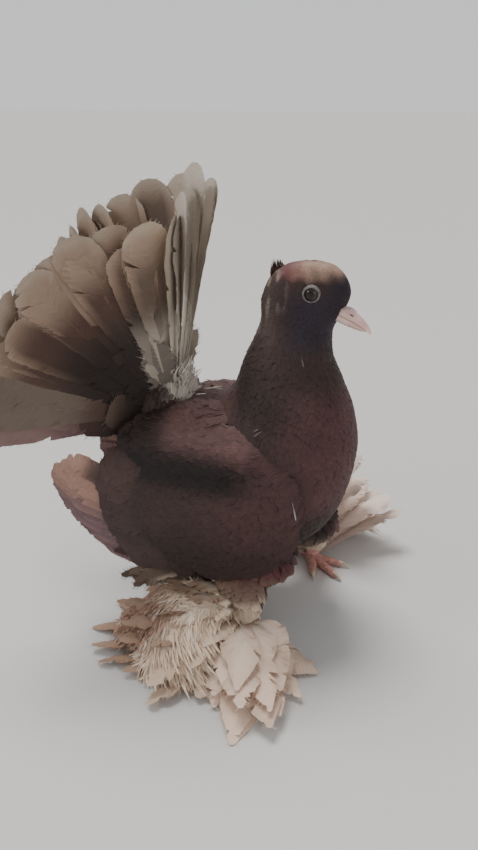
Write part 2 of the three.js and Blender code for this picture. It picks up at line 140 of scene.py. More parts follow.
def laid(way, out):
    """A way, laid flat on a surface by the way out of it."""
    return unit(way - out * dot(way, out))


def moved(start, *steps):
    """Points moved from a start along ways, each by a distance for each point."""
    for way, distance in steps:
        start = start + way * np.asarray(distance)[..., None]
    return start


def within(ellipse, x, z):
    """1 in the middle of an ellipse, 0 on its edge and less outside."""
    middle_x, middle_z, half_x, half_z = ellipse
    return 1 - (((x - middle_x) / half_x) ** 2 + ((z - middle_z) / half_z) ** 2)


def one_a_cell(p, room):
    """The number of the first point in each small cell."""
    return np.unique(np.floor(p / room).astype(int), axis=0, return_index=True)[1]


def through(values, at):
    """A smooth curve through evenly numbered rows of values, read at places between them."""
    values = np.asarray(values, dtype=float)
    at = np.asarray(at, dtype=float)
    last = len(values) - 1
    i = np.clip(np.floor(at).astype(int), 0, last - 1)
    t = at - i
    if values.ndim > 1:
        t = t[..., None]
    a, b, c, d = (values[np.clip(i + k, 0, last)] for k in (-1, 0, 1, 2))
    bend = (c - a) * t + (2 * a - 5 * b + 4 * c - d) * t**2 + (3 * b - a - 3 * c + d) * t**3
    return b + bend / 2


def along(places, t):
    """The point at a share of the curve through three places, each given as (x, z)."""
    a, b, c = np.array(places, dtype=float)
    bent = 2 * b - (a + c) / 2
    return (1 - t) ** 2 * a + 2 * t * (1 - t) * bent + t * t * c


def table(names, *rows):
    """Rows of values as dictionaries with the same names."""
    return [dict(zip(names.split(), row)) for row in rows]


def design_shift():
    """How far the row frame is from the bird's own frame, read off the right eye."""
    low, high = (np.array(corner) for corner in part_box("eye_right"))
    return (low + high) / 2 / MM - np.array([EYE["x"], -EYE["y"], EYE["z"]])


SHIFT = design_shift()


def metres(points):
    return (np.asarray(points) + SHIFT) * MM


# Colours of the plumage

def colour(red, green, blue):
    """A screen colour from 0 to 255 as the linear light that a shader takes."""
    c = np.array([red, green, blue]) / 255
    return np.where(c <= 0.04045, c / 12.92, ((c + 0.055) / 1.055) ** 2.4)


BROWN = colour(56, 41, 38)
DARK = colour(29, 22, 21)
WARM = colour(86, 57, 56)
THROAT = colour(38, 32, 42)
# Painted highlight: the crown lit from above, paler than the head's own brown.
CROWN_HIGHLIGHT = colour(190, 158, 138)
# Painted highlight: the mantle lobe lit from above, over the back's own warmer brown.
LIT_MANTLE = colour(106, 79, 76)
VENT = colour(136, 121, 103)
FLANK = colour(116, 68, 46)
ROSE = colour(128, 74, 76)
PALE = colour(184, 172, 158)
# Painted backlight: pale tail tips lit through from behind, over their own pale colour.
BACKLIT_TIP = colour(158, 135, 116)
TAIL_BROWN = colour(80, 60, 52)
# Painted shade: the dark of the fan's hollow, over the feathers' own dark brown.
TAIL_DARK = colour(44, 36, 33)
OLIVE = colour(98, 84, 72)
GREY = colour(98, 88, 80)
MAUVE = colour(108, 84, 88)
PEACH = colour(158, 122, 106)
CREAM = colour(232, 212, 188)
PINK = colour(232, 198, 184)
RUST = colour(134, 92, 68)
WHITE = colour(238, 232, 222)
CREST_RED = colour(100, 46, 42)


def painted(ground, *coats):
    """A ground colour turned towards other colours in turn, each by a share for each point."""
    for tone, share in coats:
        share = np.asarray(share)[..., None]
        ground = ground * (1 - share) + tone * share
    return ground


def patches(p, fine, stream):
    """Soft irregular patches over space, about 1 at their strongest: a few waves in random directions."""
    rng = dice(stream + 200)
    total = 0
    for way in unit(rng.normal(0, 1, (7, 3))):
        total = total + np.cos(p @ way * fine * rng.uniform(0.6, 1.6) + rng.uniform(0, 2 * math.pi))
    return total / 2.6


def mottled(tint, p, strength, stream):
    return tint * (1 + strength * patches(p, 0.16, stream))[..., None]


def body_colour(p):
    """The markings of the head and body, with painted light and shade among them, the same for skin and
    coat.
    """
    x, y, z = p[..., 0], abs(p[..., 1]), p[..., 2]
    broken = patches(p, 0.5, 4)
    edge = z + 0.8 * broken
    # Pale broken streaks behind the eye and down the nape.
    streak = smooth(patches(p * np.array([1.3, 1.3, 0.22]), 0.8, 1), 0.3, 1.2)
    tint = painted(
        BROWN,
        # Painted shade: darker towards the belly, which the light from above leaves in shade.
        (DARK, 0.6 * smooth(z, 120, 80)),
        (WARM, 0.75 * smooth(x, 30, 78) * smooth(z, 90, 120) * smooth(z, 205, 170)),
        (DARK, 0.6 * smooth(x, 20, -40) * smooth(z, 158, 120)),
        # Painted highlight on the mantle between the wings.
        (LIT_MANTLE, 0.55 * smooth(z, 150, 168) * smooth(x, 16, -4) * smooth(x, -52, -30) * smooth(z, 205, 188)),
        # Painted shadow on the side of the neck, in front of the mantle.
        (DARK, 0.55 * smooth(x, 0, 16) * smooth(x, 50, 26) * smooth(z, 160, 180) * smooth(z, 215, 196)),
        (THROAT, 0.9 * smooth(z, 205, 228) * smooth(z, 262, 246) * smooth(x, 30, 52)),
        (THROAT, 0.8 * smooth(z, 244, 258) * smooth(x, 62, 72)),
        # Painted highlight over the top of the crown.
        (CROWN_HIGHLIGHT, (0.7 + 0.08 * broken) * smooth(edge, 260, 269) * smooth(x, 79, 66) * smooth(x, 34, 50)),
        (ROSE, 0.5 * smooth(edge, 259, 267) * smooth(x, 56, 40) * smooth(x, 24, 34)),
        (PALE, 0.24 * streak * smooth(z, 238, 248) * smooth(z, 270, 262) * smooth(x, 42, 32)),
        (PALE, 0.14 * smooth(x, 36, 22) * smooth(z, 212, 232) * (0.4 + streak)),
        (VENT, 0.8 * smooth(z, 104, 84) * smooth(x, -16, -48) * smooth(y, 40, 20)),
    )
    return mottled(tint, p, 0.09, 2)


def leg_or_body_colour(p):
    """Body colours, warming to the muff's over the flank and the leg."""
    x, y, z = p[..., 0], abs(p[..., 1]), p[..., 2]
    flank = painted(FLANK, (ROSE, smooth(x, 6, 30)))
    return painted(
        body_colour(p),
        (flank, 0.4 * (smooth(z, 80, 62) * smooth(y, 18, 34))),
        (VENT, 0.5 * smooth(z, 66, 46)),
        (CREAM, 0.7 * smooth(z, 48, 36)),
    )


def tail_root_colour(p):
    """The tail root: brown as the back, and white down in front of the middle feathers."""
    front = smooth(p[..., 0], -54, -44) * smooth(p[..., 2], 162, 170) * smooth(abs(p[..., 1] + 4), 20, 11)
    return painted(body_colour(p), (painted(PALE, (WHITE, 0.5)), 0.85 * front))


def shield_colour(p):
    """The folded wing: a lobe over the shoulder with a painted highlight on it, a painted shadow band under
    it, and a plain brown shield.
    """
    x, z = p[..., 0], p[..., 2]
    tint = painted(
        BROWN,
        (WARM, 0.45 * smooth(x, -20, 40)),
        # Painted highlight on the lobe over the shoulder.
        (LIT_MANTLE, 0.85 * smooth(z, 146, 157) * smooth(x, -52, -30) * smooth(x, 36, 16)),
        # Painted shadow: a dark band under the lit lobe.
        (DARK, smooth(z, 149, 142) * smooth(z, 120, 132) * smooth(x, 46, 8)),
        (DARK, 0.6 * smooth(x, -28, -52) * smooth(z, 130, 145)),
        # Painted shade: darker towards the bottom of the wing.
        (DARK, 0.55 * smooth(z, 104, 76)),
    )
    return mottled(tint, p, 0.08, 3)


# Building meshes

def write_points(mesh, points):
    mesh.vertices.foreach_set("co", metres(points).astype(np.float32).ravel())


def read_points(mesh):
    """A mesh's points in the bird's frame."""
    points = np.empty(len(mesh.vertices) * 3, dtype=np.float32)
    mesh.vertices.foreach_get("co", points)
    return points.reshape(-1, 3) / MM - SHIFT


def add_tint(mesh, tint):
    rgba = np.concatenate([tint, np.ones((len(tint), 1))], axis=1)
    attribute = mesh.color_attributes.new("Tint", "FLOAT_COLOR", "POINT")
    attribute.data.foreach_set("color", rgba.astype(np.float32).ravel())


def make_mesh(name, points, faces, coat=None, below=None):
    """An object from points in the bird's frame and lists of face arrays. coat holds what each point of a
    coat has: its tint, its places on two maps, and its normals over and under. The faces marked in below
    take the normals from under."""
    mesh = bpy.data.meshes.new(name)
    loops = np.concatenate([f.reshape(-1) for f in faces]).astype(np.int32)
    sizes = np.concatenate([np.full(len(f), f.shape[1]) for f in faces]).astype(np.int32)
    starts = np.concatenate([[0], np.cumsum(sizes)[:-1]]).astype(np.int32)
    mesh.vertices.add(len(points))
    write_points(mesh, points)
    mesh.loops.add(len(loops))
    mesh.loops.foreach_set("vertex_index", loops)
    mesh.polygons.add(len(sizes))
    mesh.polygons.foreach_set("loop_start", starts)
    mesh.polygons.foreach_set("loop_total", sizes)
    mesh.update(calc_edges=True)
    mesh.polygons.foreach_set("use_smooth", np.ones(len(sizes), dtype=bool))
    if coat:
        for layer, key in (("OFBake", "patch"), ("Strand", "strand")):
            uv = mesh.uv_layers.new(name=layer)
            uv.data.foreach_set("uv", coat[key][loops].astype(np.float32).ravel())
        add_tint(mesh, np.clip(coat["tint"], 0, 1))
        is_below = np.repeat(below, sizes)[:, None]
        normals = np.where(is_below, coat["under"][loops], coat["normals"][loops])
        mesh.normals_split_custom_set(normals.astype(np.float32))
    piece = bpy.data.objects.new(name, mesh)
    bpy.context.scene.collection.objects.link(piece)
    return piece


def dress(piece, material, *nodes):
    """Gives a piece its material and fixes it to the part, in the place of the solids named."""
    piece.data.materials.append(material)
    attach(piece, "root")
    if nodes:
        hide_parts(*nodes)
    return piece


PATCH = 0.003  # width of one tuft in the bake map
LOCK_ACROSS = np.array([-1.0, 0, 1, 0])  # where the four corners of a lock are across it


class Coat:
    """Collects closed blades, the locks and vanes of one piece, and makes them into one mesh."""

    def __init__(self, name):
        self.name = name
        self.faces = {}
        self.layers = {key: [] for key in ("points", "normals", "under", "tint", "patch", "strand")}
        self.count = 0

    def blades(self, rings, tip, **values):
        """Adds closed blades: rings is (blades, rings, corners, 3) and tip, (blades, 3), closes their ends.
        Half way round, the corners pass to the under side. The values give each corner, and last the tip,
        its normal over and under, its tint, and its places on the two maps."""
        number, steps, corners, _ = rings.shape
        size = steps * corners + 1
        base = self.count + np.arange(number)[:, None] * size
        for j in range(corners):
            below = j >= corners // 2
            for i in range(steps - 1):
                a, b = i * corners + j, i * corners + (j + 1) % corners
                self.keep(base + np.array([a, b, b + corners, a + corners]), below)
            last = (steps - 1) * corners
            self.keep(base + np.array([last + j, last + (j + 1) % corners, size - 1]), below)
        self.keep(base + np.arange(corners)[::-1], True)
        values["points"] = np.concatenate([rings.reshape(number, -1, 3), tip[:, None]], axis=1)
        for key, value in values.items():
            self.layers[key].append(value.reshape(-1, value.shape[-1]))
        self.count += number * size

    def keep(self, faces, below):
        self.faces.setdefault((faces.shape[1], below), []).append(faces)

    def locks(self, line, up, half, tint, place, thick=0.22, cup=0.25, relief=0.55):
        """Adds locks of four corners. line is (locks, steps, 3), up the way out of the coat, half the half
        widths on all steps but the last, which is the point, and place the lock's spot on the bake map."""
        number, steps, _ = line.shape
        rings = steps - 1
        way = np.gradient(line, axis=1)
        side = unit(np.cross(way, up))
        up = unit(np.cross(side, way))
        middle, ring_side, ring_up = line[:, :-1], side[:, :-1], up[:, :-1]
        half = np.broadcast_to(half, (number, rings))[..., None]
        deep = np.minimum(thick, half * 0.6)
        edge = ring_up * cup * half
        corners = np.stack([
            middle - ring_side * half - edge,
            middle + ring_up * deep,
            middle + ring_side * half - edge,
            middle - ring_up * deep,
        ], axis=2)
        lean = relief * LOCK_ACROSS[:, None] * ring_side[:, :, None]
        ways = {}
        for key, sign in (("normals", 1), ("under", -1)):
            rounded = unit(sign * ring_up[:, :, None] + lean).reshape(number, rings * 4, 3)
            ways[key] = np.concatenate([rounded, sign * up[:, -1:]], axis=1)
        u = np.append(np.tile(LOCK_ACROSS, rings), 0)
        v = np.append(np.repeat(np.linspace(0, 1, steps)[:-1], 4), 1)
        patch = np.clip(place, PATCH, 1 - PATCH)[:, None] + vector(u * PATCH / 2, (v - 0.5) * PATCH)
        length = np.linalg.norm(line[:, -1] - line[:, 0], axis=-1)[:, None]
        salt = dice(self.count).uniform(0, 90, (2, number, 1))
        strand = vector(u * half.max(axis=1) + salt[0], v * length + salt[1])
        tint = np.broadcast_to(tint, (number, steps, 3))
        tint = np.concatenate([np.repeat(tint[:, :-1], 4, axis=1), tint[:, -1:]], axis=1)
        self.blades(corners, line[:, -1], tint=tint, patch=patch, strand=strand, **ways)

    def finish(self, material, *nodes):
        faces = [np.concatenate(group) for group in self.faces.values()]
        below = np.concatenate([np.full(len(f), key[1]) for key, f in zip(self.faces, faces)])
        layers = {key: np.concatenate(value) for key, value in self.layers.items()}
        return dress(make_mesh(self.name, layers["points"], faces, layers, below), material, *nodes)


def single_locks(name, line, up, half, tint, place, thick, material):
    """A piece of single locks."""
    coat = Coat(name)
    coat.locks(line, up, half, tint, place, thick=thick)
    return coat.finish(material)


def select(*pieces):
    bpy.ops.object.select_all(action="DESELECT")
    for piece in pieces:
        piece.select_set(True)
    bpy.context.view_layer.objects.active = pieces[0]


def make_outward(piece):
    """Turns a mesh's faces to point outwards."""
    select(piece)
    bpy.ops.object.mode_set(mode="EDIT")
    bpy.ops.mesh.select_all(action="SELECT")
    bpy.ops.mesh.normals_make_consistent(inside=False)
    bpy.ops.object.mode_set(mode="OBJECT")
    return piece


def join(pieces, name):
    """Joins closed meshes, which may cross, into one piece."""
    for piece in pieces:
        make_outward(piece)
    select(*pieces)
    bpy.ops.object.join()
    pieces[0].name = name
    return pieces[0]


def circle(sides):
    return np.linspace(0, 2 * math.pi, sides, endpoint=False)


def tube(name, rings):
    """A closed tube through rings of points, with its two ends filled."""
    count, sides = rings.shape[:2]
    i, j = np.meshgrid(np.arange(count - 1), np.arange(sides), indexing="ij")
    a, b = i * sides + j, i * sides + (j + 1) % sides
    quads = vector(a, b, b + sides, a + sides).reshape(-1, 4)
    end = np.arange(sides)[None]
    return make_mesh(name, rings.reshape(-1, 3), [quads, end[:, ::-1], end + (count - 1) * sides])


def ball(name, centre, radii):
    """A closed ellipsoid."""
    polar = np.linspace(0.05, math.pi - 0.05, 18)[:, None]
    turn = circle(28)
    shape = vector(np.sin(polar) * np.cos(turn), np.sin(polar) * np.sin(turn), np.cos(polar))
    return tube(name, shape * np.array(radii) + np.array(centre))


def limb_way(places, at):
    return unit(through(places, at + 0.05)[:, :3] - through(places, at - 0.05)[:, :3])


def limb_rings(places, sides, steps):
    """Rings of points along a round limb through places given as (x, y, z, radius)."""
    at = np.linspace(0, len(places) - 1, (len(places) - 1) * steps + 1)
    row = through(places, at)
    way = limb_way(places, at)
    level = np.cross(way, np.array([0, 0, 1.0]))
    level = np.where(np.linalg.norm(level, axis=1, keepdims=True) < 0.14, np.array([0, 1.0, 0]), level)
    u = laid(level, way)
    v = np.cross(way, u)
    turn = circle(sides)[:, None]
    return row[:, None, :3] + row[:, None, 3:] * (u[:, None] * np.cos(turn) + v[:, None] * np.sin(turn))


# Body surface

def body(at, turn, grow=0.0):
    """Points of the body: at counts stations, turn goes round from the low or front point."""
    row = through(STATIONS, at)
    front, back, half = row[..., 0:2], row[..., 2:4], row[..., 4]
    middle = (front + back) / 2
    reach = front - middle
    size = np.linalg.norm(reach, axis=-1, keepdims=True)
    reach = reach * (1 + np.asarray(grow)[..., None] / size)
    place = middle + reach * np.cos(turn)[..., None]
    return vector(place[..., 0], (half + grow) * np.sin(turn), place[..., 1])


def body_steps(at, turn):
    """Short steps on the body, from station to station and round it."""
    by_at = body(at + 0.02, turn) - body(at - 0.02, turn)
    by_turn = body(at, turn + 0.01) - body(at, turn - 0.01)
    return by_at, by_turn


BILL_BASE = np.array([73.0, 0, 243])


def body_frame(at, turn):
    """Points of the body with the way out and the way the feathers aim there."""
    p = body(at, turn)
    by_at, by_turn = body_steps(at, turn)
    out = unit(np.cross(by_at, by_turn))
    row = through(STATIONS, at)
    middle = vector((row[..., 0] + row[..., 2]) / 2, 0, (row[..., 1] + row[..., 3]) / 2)
    out = out * np.sign(dot(out, p - middle))
    return p, out, unit(mix(-unit(by_at), laid(p - BILL_BASE, out), smooth(at, 13.2, 15)[..., None]))


def feather_length(at, turn):
    """How long the body feathers are, from the rump to the face."""
    size = np.interp(at, [0, 2, 5, 9, 12, 14, 16, 19], [22, 19, 15, 13, 10, 7, 4.6, 4.2])
    face = smooth(at, 13.5, 15) * smooth(np.cos(turn), 0.1, 0.7)
    return size * (1 - 0.4 * face)


CELL_GROWTH = 1.12  # from one size of cell to the next


def body_sites(rng, first, last, tries):
    """Spots spread over the body between two stations, as at and turn, thinned to one in each small cube,
    which are larger where the feathers are longer."""
    at = rng.uniform(first, last, tries)
    turn = rng.uniform(0, 2 * math.pi, tries)
    area = np.linalg.norm(np.cross(*body_steps(at, turn)), axis=-1)
    kept = rng.uniform(0, area.max(), tries) < area
    at, turn = at[kept], turn[kept]
    room = feather_length(at, turn) * 0.27
    level = np.round(np.log(room) / np.log(CELL_GROWTH))
    cube = np.floor(body(at, turn) / (CELL_GROWTH**level)[:, None])
    sites = one_a_cell(np.concatenate([cube, level[:, None]], axis=1), 1)
    return at[sites], turn[sites]


BILL_RUN = math.cos(math.radians(BILL["slope"]))
BILL_RISE = math.sin(math.radians(BILL["slope"]))


def bare(p):
    """Where no feather grows: the eyes with their rings, the root of the bill, and under the wings."""
    x, y, z = p[:, 0], abs(p[:, 1]), p[:, 2]
    near_eye = np.hypot(x - EYE["x"], z - EYE["z"]) < EYE["radius"] - 0.1
    ahead = (x - BILL["x"]) * BILL_RUN + (z - BILL["z"]) * BILL_RISE
    over = (z - BILL["z"]) * BILL_RUN - (x - BILL["x"]) * BILL_RISE
    at_bill = (ahead > -4) & (abs(over) < 5) & (y < 4.6)
    return (near_eye & (y > 8)) | at_bill | ((within(UNDER_WING, x, z) > 0) & (y > 34))


def with_cap(rng, *sites):
    """The sites of the head with those on the flat top of the crown, which the last station leaves bare."""
    number = 60
    x = rng.uniform(46, 59, number)
    y = rng.uniform(-3.5, 3.5, number)
    up, back = np.tile([0, 0, 1.0], (number, 1)), np.tile([-1.0, 0, 0], (number, 1))
    cap = (np.full(number, 18.9), np.arctan2(y, x - 52), vector(x, y, 272.3), up, back)
    return [np.concatenate(both) for both in zip(sites, cap)]


# The steps along small feathers and locks of down, as shares of their length.
ROUND_STEPS = np.array([0, 0.3, 0.6, 0.82, 0.95, 1])
HEAD_STEPS = np.array([0, 0.45, 0.85, 1])
SHORT_STEPS = np.array([0, 0.55, 1])
STEPS = np.array([0, 0.4, 0.78, 1])
DOWN_STEPS = np.array([0, 0.3, 0.6, 0.85, 1])


def small_feathers(coat, rng, p, out, aim, size, lift, paint, place, wide=0.3, depth=None, fringe=True,
                   steps=ROUND_STEPS):
    """Small feathers at points p: rounded blades that lie along the aim, rooted under the surface and
    ending on it or, with lift, over it, each with a loose barb at its end where there is a fringe. paint
    colours points."""
    number = len(p)
    lie = laid(aim, out)
    side = np.cross(lie, out)
    way = unit(lie + side * rng.normal(0, 0.12, number)[:, None])
    depth = np.minimum(COAT_DEPTH * 0.8, size * 0.16) if depth is None else np.full(number, depth)
    tone = 1 + rng.normal(0, 0.06, (number, 1, 1))

    def blade(steps, way, reach, start, shift):
        t = mix(start, 1, steps)
        line = p[:, None] + way[:, None] * reach[:, None, None] * (t[:, None] - 0.2)
        rise = -depth[:, None] * (1 - smooth(t, 0, 0.9)) + shift + (lift * reach)[:, None] * t**1.5
        sink = 0.5 * (reach / 40)[:, None] * (t * reach[:, None] / 10) ** 2
        return line + out[:, None] * (rise - sink)[..., None]

    line = blade(steps, way, size, 0, 0.1)
    up = out[:, None] + rng.normal(0, 0.05, (number, 1, 1)) * side[:, None]
    s = steps[:-1]
    outline = mix(0.35, 1, smooth(s, 0, 0.6)) * np.sqrt(1 - 0.8 * smooth(s, 0.6, 1.02) ** 1.5)
    half = wide * size[:, None] * outline * rng.uniform(0.85, 1.15, (number, 1))
    # Painted shade towards each feather's root, which lies under the feathers before it, and lighter towards
    # its tip.
    shade = tone * (1 + 0.2 * (steps[:, None] - 0.6))
    coat.locks(line, up, half, paint(line) * shade, place, thick=0.18, cup=0.16, relief=0.3)
    if fringe:
        offset = rng.uniform(-0.75, 0.75, number)
        aim = unit(way + side * (offset * 0.35 + rng.normal(0, 0.1, number))[:, None])
        reach = size * rng.uniform(0.98, 1.12, number) * (1 - 0.12 * offset**2)
        line = blade(SHORT_STEPS, aim, reach, 0.55, 0.16)
        line = line + side[:, None] * (offset * wide * size * 0.5)[:, None, None]
        fine = np.array([0.05, 0.045]) * size[:, None]
        shade = tone * (1.05 + rng.normal(0, 0.08, (number, 1, 1)))
        coat.locks(line, out[:, None], fine, paint(line) * shade, place, thick=0.15)


def plumage(name, material, *values, **options):
    """A piece of small feathers, with the values and options that they take."""
    coat = Coat(name)
    small_feathers(coat, *values, **options)
    return coat.finish(material)


def body_plumage(name, first, last, tries, stream, material):
    """The small feathers over a length of the body."""
    rng = dice(stream)
    sites = body_sites(rng, first, last, tries)
    sites += body_frame(*sites)
    if last == HEAD_TO:
        sites = with_cap(rng, *sites)
    grown = ~bare(sites[2])
    at, turn, p, out, aim = (value[grown] for value in sites)
    size = feather_length(at, turn) * rng.uniform(0.85, 1.15, len(at))
    ruffle = 0.05 * smooth(at, 10.8, 12.5) * smooth(at, 15.2, 13.5) * smooth(np.cos(turn), 0, -0.8)
    fluff = 0.12 * smooth(at, 3.2, 1)
    lift = (ruffle + fluff) * rng.uniform(0, 1.6, len(at))
    place = vector(turn / (2 * math.pi), at / CROWN)
    options = {"wide": 0.31}
    if first >= HEAD_FROM:
        options = {"wide": 0.27, "steps": HEAD_STEPS, "fringe": False}
    return plumage(name, material, rng, p, out, aim, size, lift, body_colour, place, **options)


# Long feathers

COLUMNS = np.array([-1, -0.52, 0, 0.52, 1])  # across a vane, from edge to edge over the shaft
VANE_DEPTH = np.array([0.05, 0.13, 0.2, 0.13, 0.05])
SWEEP = 0.16  # how far a vane's edges reach ahead of its shaft at most, as a share of its length


def vane_shape(s, shoulder, point):
    """The half width of a vane along its length, as a share of its widest, which is at the shoulder. The
    end is round where point is 0 and tapers to a point where it is 1."""
    past = np.maximum(s - shoulder, 0) / (1 - shoulder)
    end = mix(np.sqrt(1 - 0.94 * past**2), 1 - 0.9 * past**1.4, point)
    return mix(0.25, 1, smooth(s, 0.02, shoulder)) * end


def on_map(cell, s, across):
    """Places in a feather's own cell of the bake map, for shares of its length and half width."""
    u0, v0, width, height = cell
    return vector(u0 + width * (0.5 + 0.48 * across), v0 + height * (0.02 + 0.96 * s))


def vane(coat, rng, spot, half, length, tint, cell, rings, splits, ragged, arch, ripple, shoulder, point):
    """The web of one long feather: a thin closed sheet that sweeps forward from the shaft and splits at
    its edges. Gives back the reach of each edge for the loose barbs."""
    s = np.linspace(0.015, 0.992, rings)
    gaps = rng.uniform(0.3, 0.95, (2, splits))
    gap_width = 0.8 / rings
    near = [gaps.ravel() - gap_width, gaps.ravel(), gaps.ravel() + gap_width]
    s = np.sort(np.concatenate([s, *near]).clip(0.015, 0.992))
    depth = rng.uniform(0.1, 0.6, (2, splits))
    wave = rng.uniform(0, 2 * math.pi, 4)
    reach = []
    for side in range(2):
        notch = np.max(depth[side] * np.clip(1 - abs(s[:, None] - gaps[side]) / gap_width, 0, 1), axis=1)
        edge = vane_shape(s, shoulder, point) * (1 - notch) * (1 - abs(rng.normal(0, ragged, len(s))))
        reach.append(half * edge)
    across = COLUMNS * np.where(COLUMNS < 0, reach[0][:, None], reach[1][:, None])
    forward = np.minimum(abs(across) / length, SWEEP)
    at = np.minimum(s[:, None] + forward * (1 - s[:, None] ** 6), 1.0)
    swing = np.sin(at * 17 + wave[0]) + 0.6 * np.sin(at * 41 + wave[1] + COLUMNS * 2)
    lift = -arch * half * (across / half) ** 2 + ripple * swing * (across / half) ** 2
    sheet = spot(at, across, lift)
    up = unit(spot(at, across, lift + 1) - sheet)
    normal = unit(np.cross(np.gradient(sheet, axis=0), np.gradient(sheet, axis=1)))
    turned = dot(normal, up).sum() > 0
    normal = normal * np.sign(dot(normal, up))
    top, under = sheet + normal * VANE_DEPTH[:, None], sheet - normal * VANE_DEPTH[:, None]
    order, back = ([4, 3, 2, 1, 0], [1, 2, 3]) if turned else ([0, 1, 2, 3, 4], [3, 2, 1])
    corners = np.concatenate([top[:, order], under[:, back]], axis=1)
    layers = {"normals": normal, "under": -normal, "tint": tint(at, across / half)}
    layers["patch"] = on_map(cell, at, across / half)
    salt = rng.uniform(0, 90, 2)
    layers["strand"] = vector(s[:, None] * length + salt[0], abs(across) + salt[1])
    for key, value in layers.items():
        width = value.shape[-1]
        layers[key] = np.concatenate([value[:, order + back].reshape(-1, width), value[-1:, 2]])[None]
    end = spot(np.ones(1), np.zeros(1), np.zeros(1))
    coat.blades(corners[None], end, **layers)
    return s, reach


def feather(coat, rng, spot, half, length, barbs, tint, cell, rings=30, splits=2, ragged=0.05, arch=0.12,
            ripple=0.5, loose=0.3, fine=0.45, shoulder=0.7, point=0.0):
    """One long feather: its shaft, its web, and loose barbs past the edges of the web. spot gives points for
    arrays of the share of the length, the distance across and the distance out, and tint gives colours for
    the share of the length and of the half width. cell is the feather's own part of the bake map."""
    s = np.linspace(0, 0.97, 6)
    zero = np.zeros_like(s)
    shaft_up = unit(spot(s, zero, zero + 1) - spot(s, zero, zero))[None]
    thick = mix(0.03 * half + 0.3, 0.12, np.linspace(0, 1, 5))
    coat.locks(spot(s, zero, zero + 0.1)[None], shaft_up, thick, tint(s, zero) * 1.25,
               on_map(cell, 0.5, 0)[None], thick=0.35, cup=0)
    s, reach = vane(coat, rng, spot, half, length, tint, cell, rings, splits, ragged, arch, ripple,
                    shoulder, point)
    t = SHORT_STEPS
    for side, edges in zip((-1, 1), reach):
        start = np.linspace(0.04, 0.99, barbs) + rng.normal(0, 0.3 / barbs, barbs)
        start = start.clip(0.02, 0.992)[:, None]
        edge = np.interp(start, s, edges)
        extra = half * loose * rng.uniform(0.25, 1, (barbs, 1)) * mix(1.3, 0.8, start)
        across = side * (edge * 0.72 + (edge * 0.28 + extra) * t)
        forward = np.minimum(edge / length, SWEEP) * (1 - start**6)
        slant = forward * (0.72 + 0.28 * t) + (extra / length) * t * 1.2
        at = np.minimum(start + slant, 1 + extra * t / length)
        lift = -arch * half * (across / half) ** 2 + rng.normal(0, ripple * 0.7, (barbs, 1)) * t
        line = spot(at, across, lift)
        up = unit(spot(at, across, lift + 1) - line)
        shades = tint(at, across / half) * (1 + rng.normal(0, 0.08, (barbs, 1, 1)))
        places = on_map(cell, at[:, 1], across[:, 1] / half)
        coat.locks(line, up, np.array([fine, fine * 0.8]), shades, places, thick=0.15)


def in_ranks(name, material, ranks, grow, owner, stream, *nodes):
    """A piece of long feathers in ranks. grow adds each one, from the side or the foot that owns it, its
    rank, its number in the rank and its cell of the bake map."""
    rng = dice(stream)
    coat = Coat(name)
    for r, rank in enumerate(ranks):
        for i in range(rank["count"]):
            cell = (i / rank["count"], r / len(ranks), 0.98 / rank["count"], 0.98 / len(ranks))
            grow(coat, rng, owner, rank, i, cell)
    return coat.finish(material, *nodes)


# Tail

APEX = np.array([TAIL["x"], 0.0, TAIL["z"]])
MIDDLE_TURN = 38  # how far the middle feathers are turned about their shafts

# Ranks of the tail: its long feathers in two ranks, then the shorter ones over and under their roots.
# The angles count from the middle of the fan, and share is of the length of the longest.
TAIL_RANKS = table(
    "count from step half share lift tilt barbs rings",
    (14, 1.5, 6.5, 17, 1, 0, 0.16, 64, 44),
    (12, 4, 7.2, 16, 0.95, 2.5, 0.13, 60, 40),
    (11, 3, 8, 14, 0.42, 3.5, 0.05, 30, 14),
    (11, 3, 8, 12, 0.28, 4.5, 0.05, 26, 10),
    (10, 5, 8.5, 11, 0.5, -4, 0.1, 26, 16),
    (10, 5, 8.5, 9, 0.32, -7, 0.1, 22, 12),
)
COVERT_SHARE = 0.9  # under it, a rank is of the short feathers
# Angles in the fan, and the share of a feather's length where it turns pale there: where the painted shade
# in the hollow of the fan gives way to the painted backlight of the tips.
FADE = (
    (10, 20, 26, 34, 44, 57, 64, 70, 86),
    (0.3, 0.76, 0.82, 0.62, 0.66, 0.84, 0.66, 0.42, 0.5),
)


def tail_way(half, angle):
    """The way a tail feather points, by its angle from the middle: fanned, then swept back."""
    swept = math.radians(mix(90, half["sweep"], smooth(angle, 0, half["over"])))
    turn = math.radians(angle)
    across = np.array([-math.cos(swept), half["side"] * math.sin(swept), 0])
    up = unit(np.array([half["lean"], 0, 1.0]))
    return unit(up * math.cos(turn) + across * math.sin(turn))


def tail_frame(half, angle):
    """The ways along, across and out of a tail feather, turned about its shaft near the middle."""
    way = tail_way(half, angle)
    across = laid(tail_way(half, angle + 2) - tail_way(half, angle - 2), way)
    out = unit(np.cross(way, across)) * -half["side"]
    turn = -half["side"] * math.radians(MIDDLE_TURN) * (1 - smooth(angle, 6, 26))
    c, s = math.cos(turn), math.sin(turn)
    return way, across * c + out * s, out * c - across * s


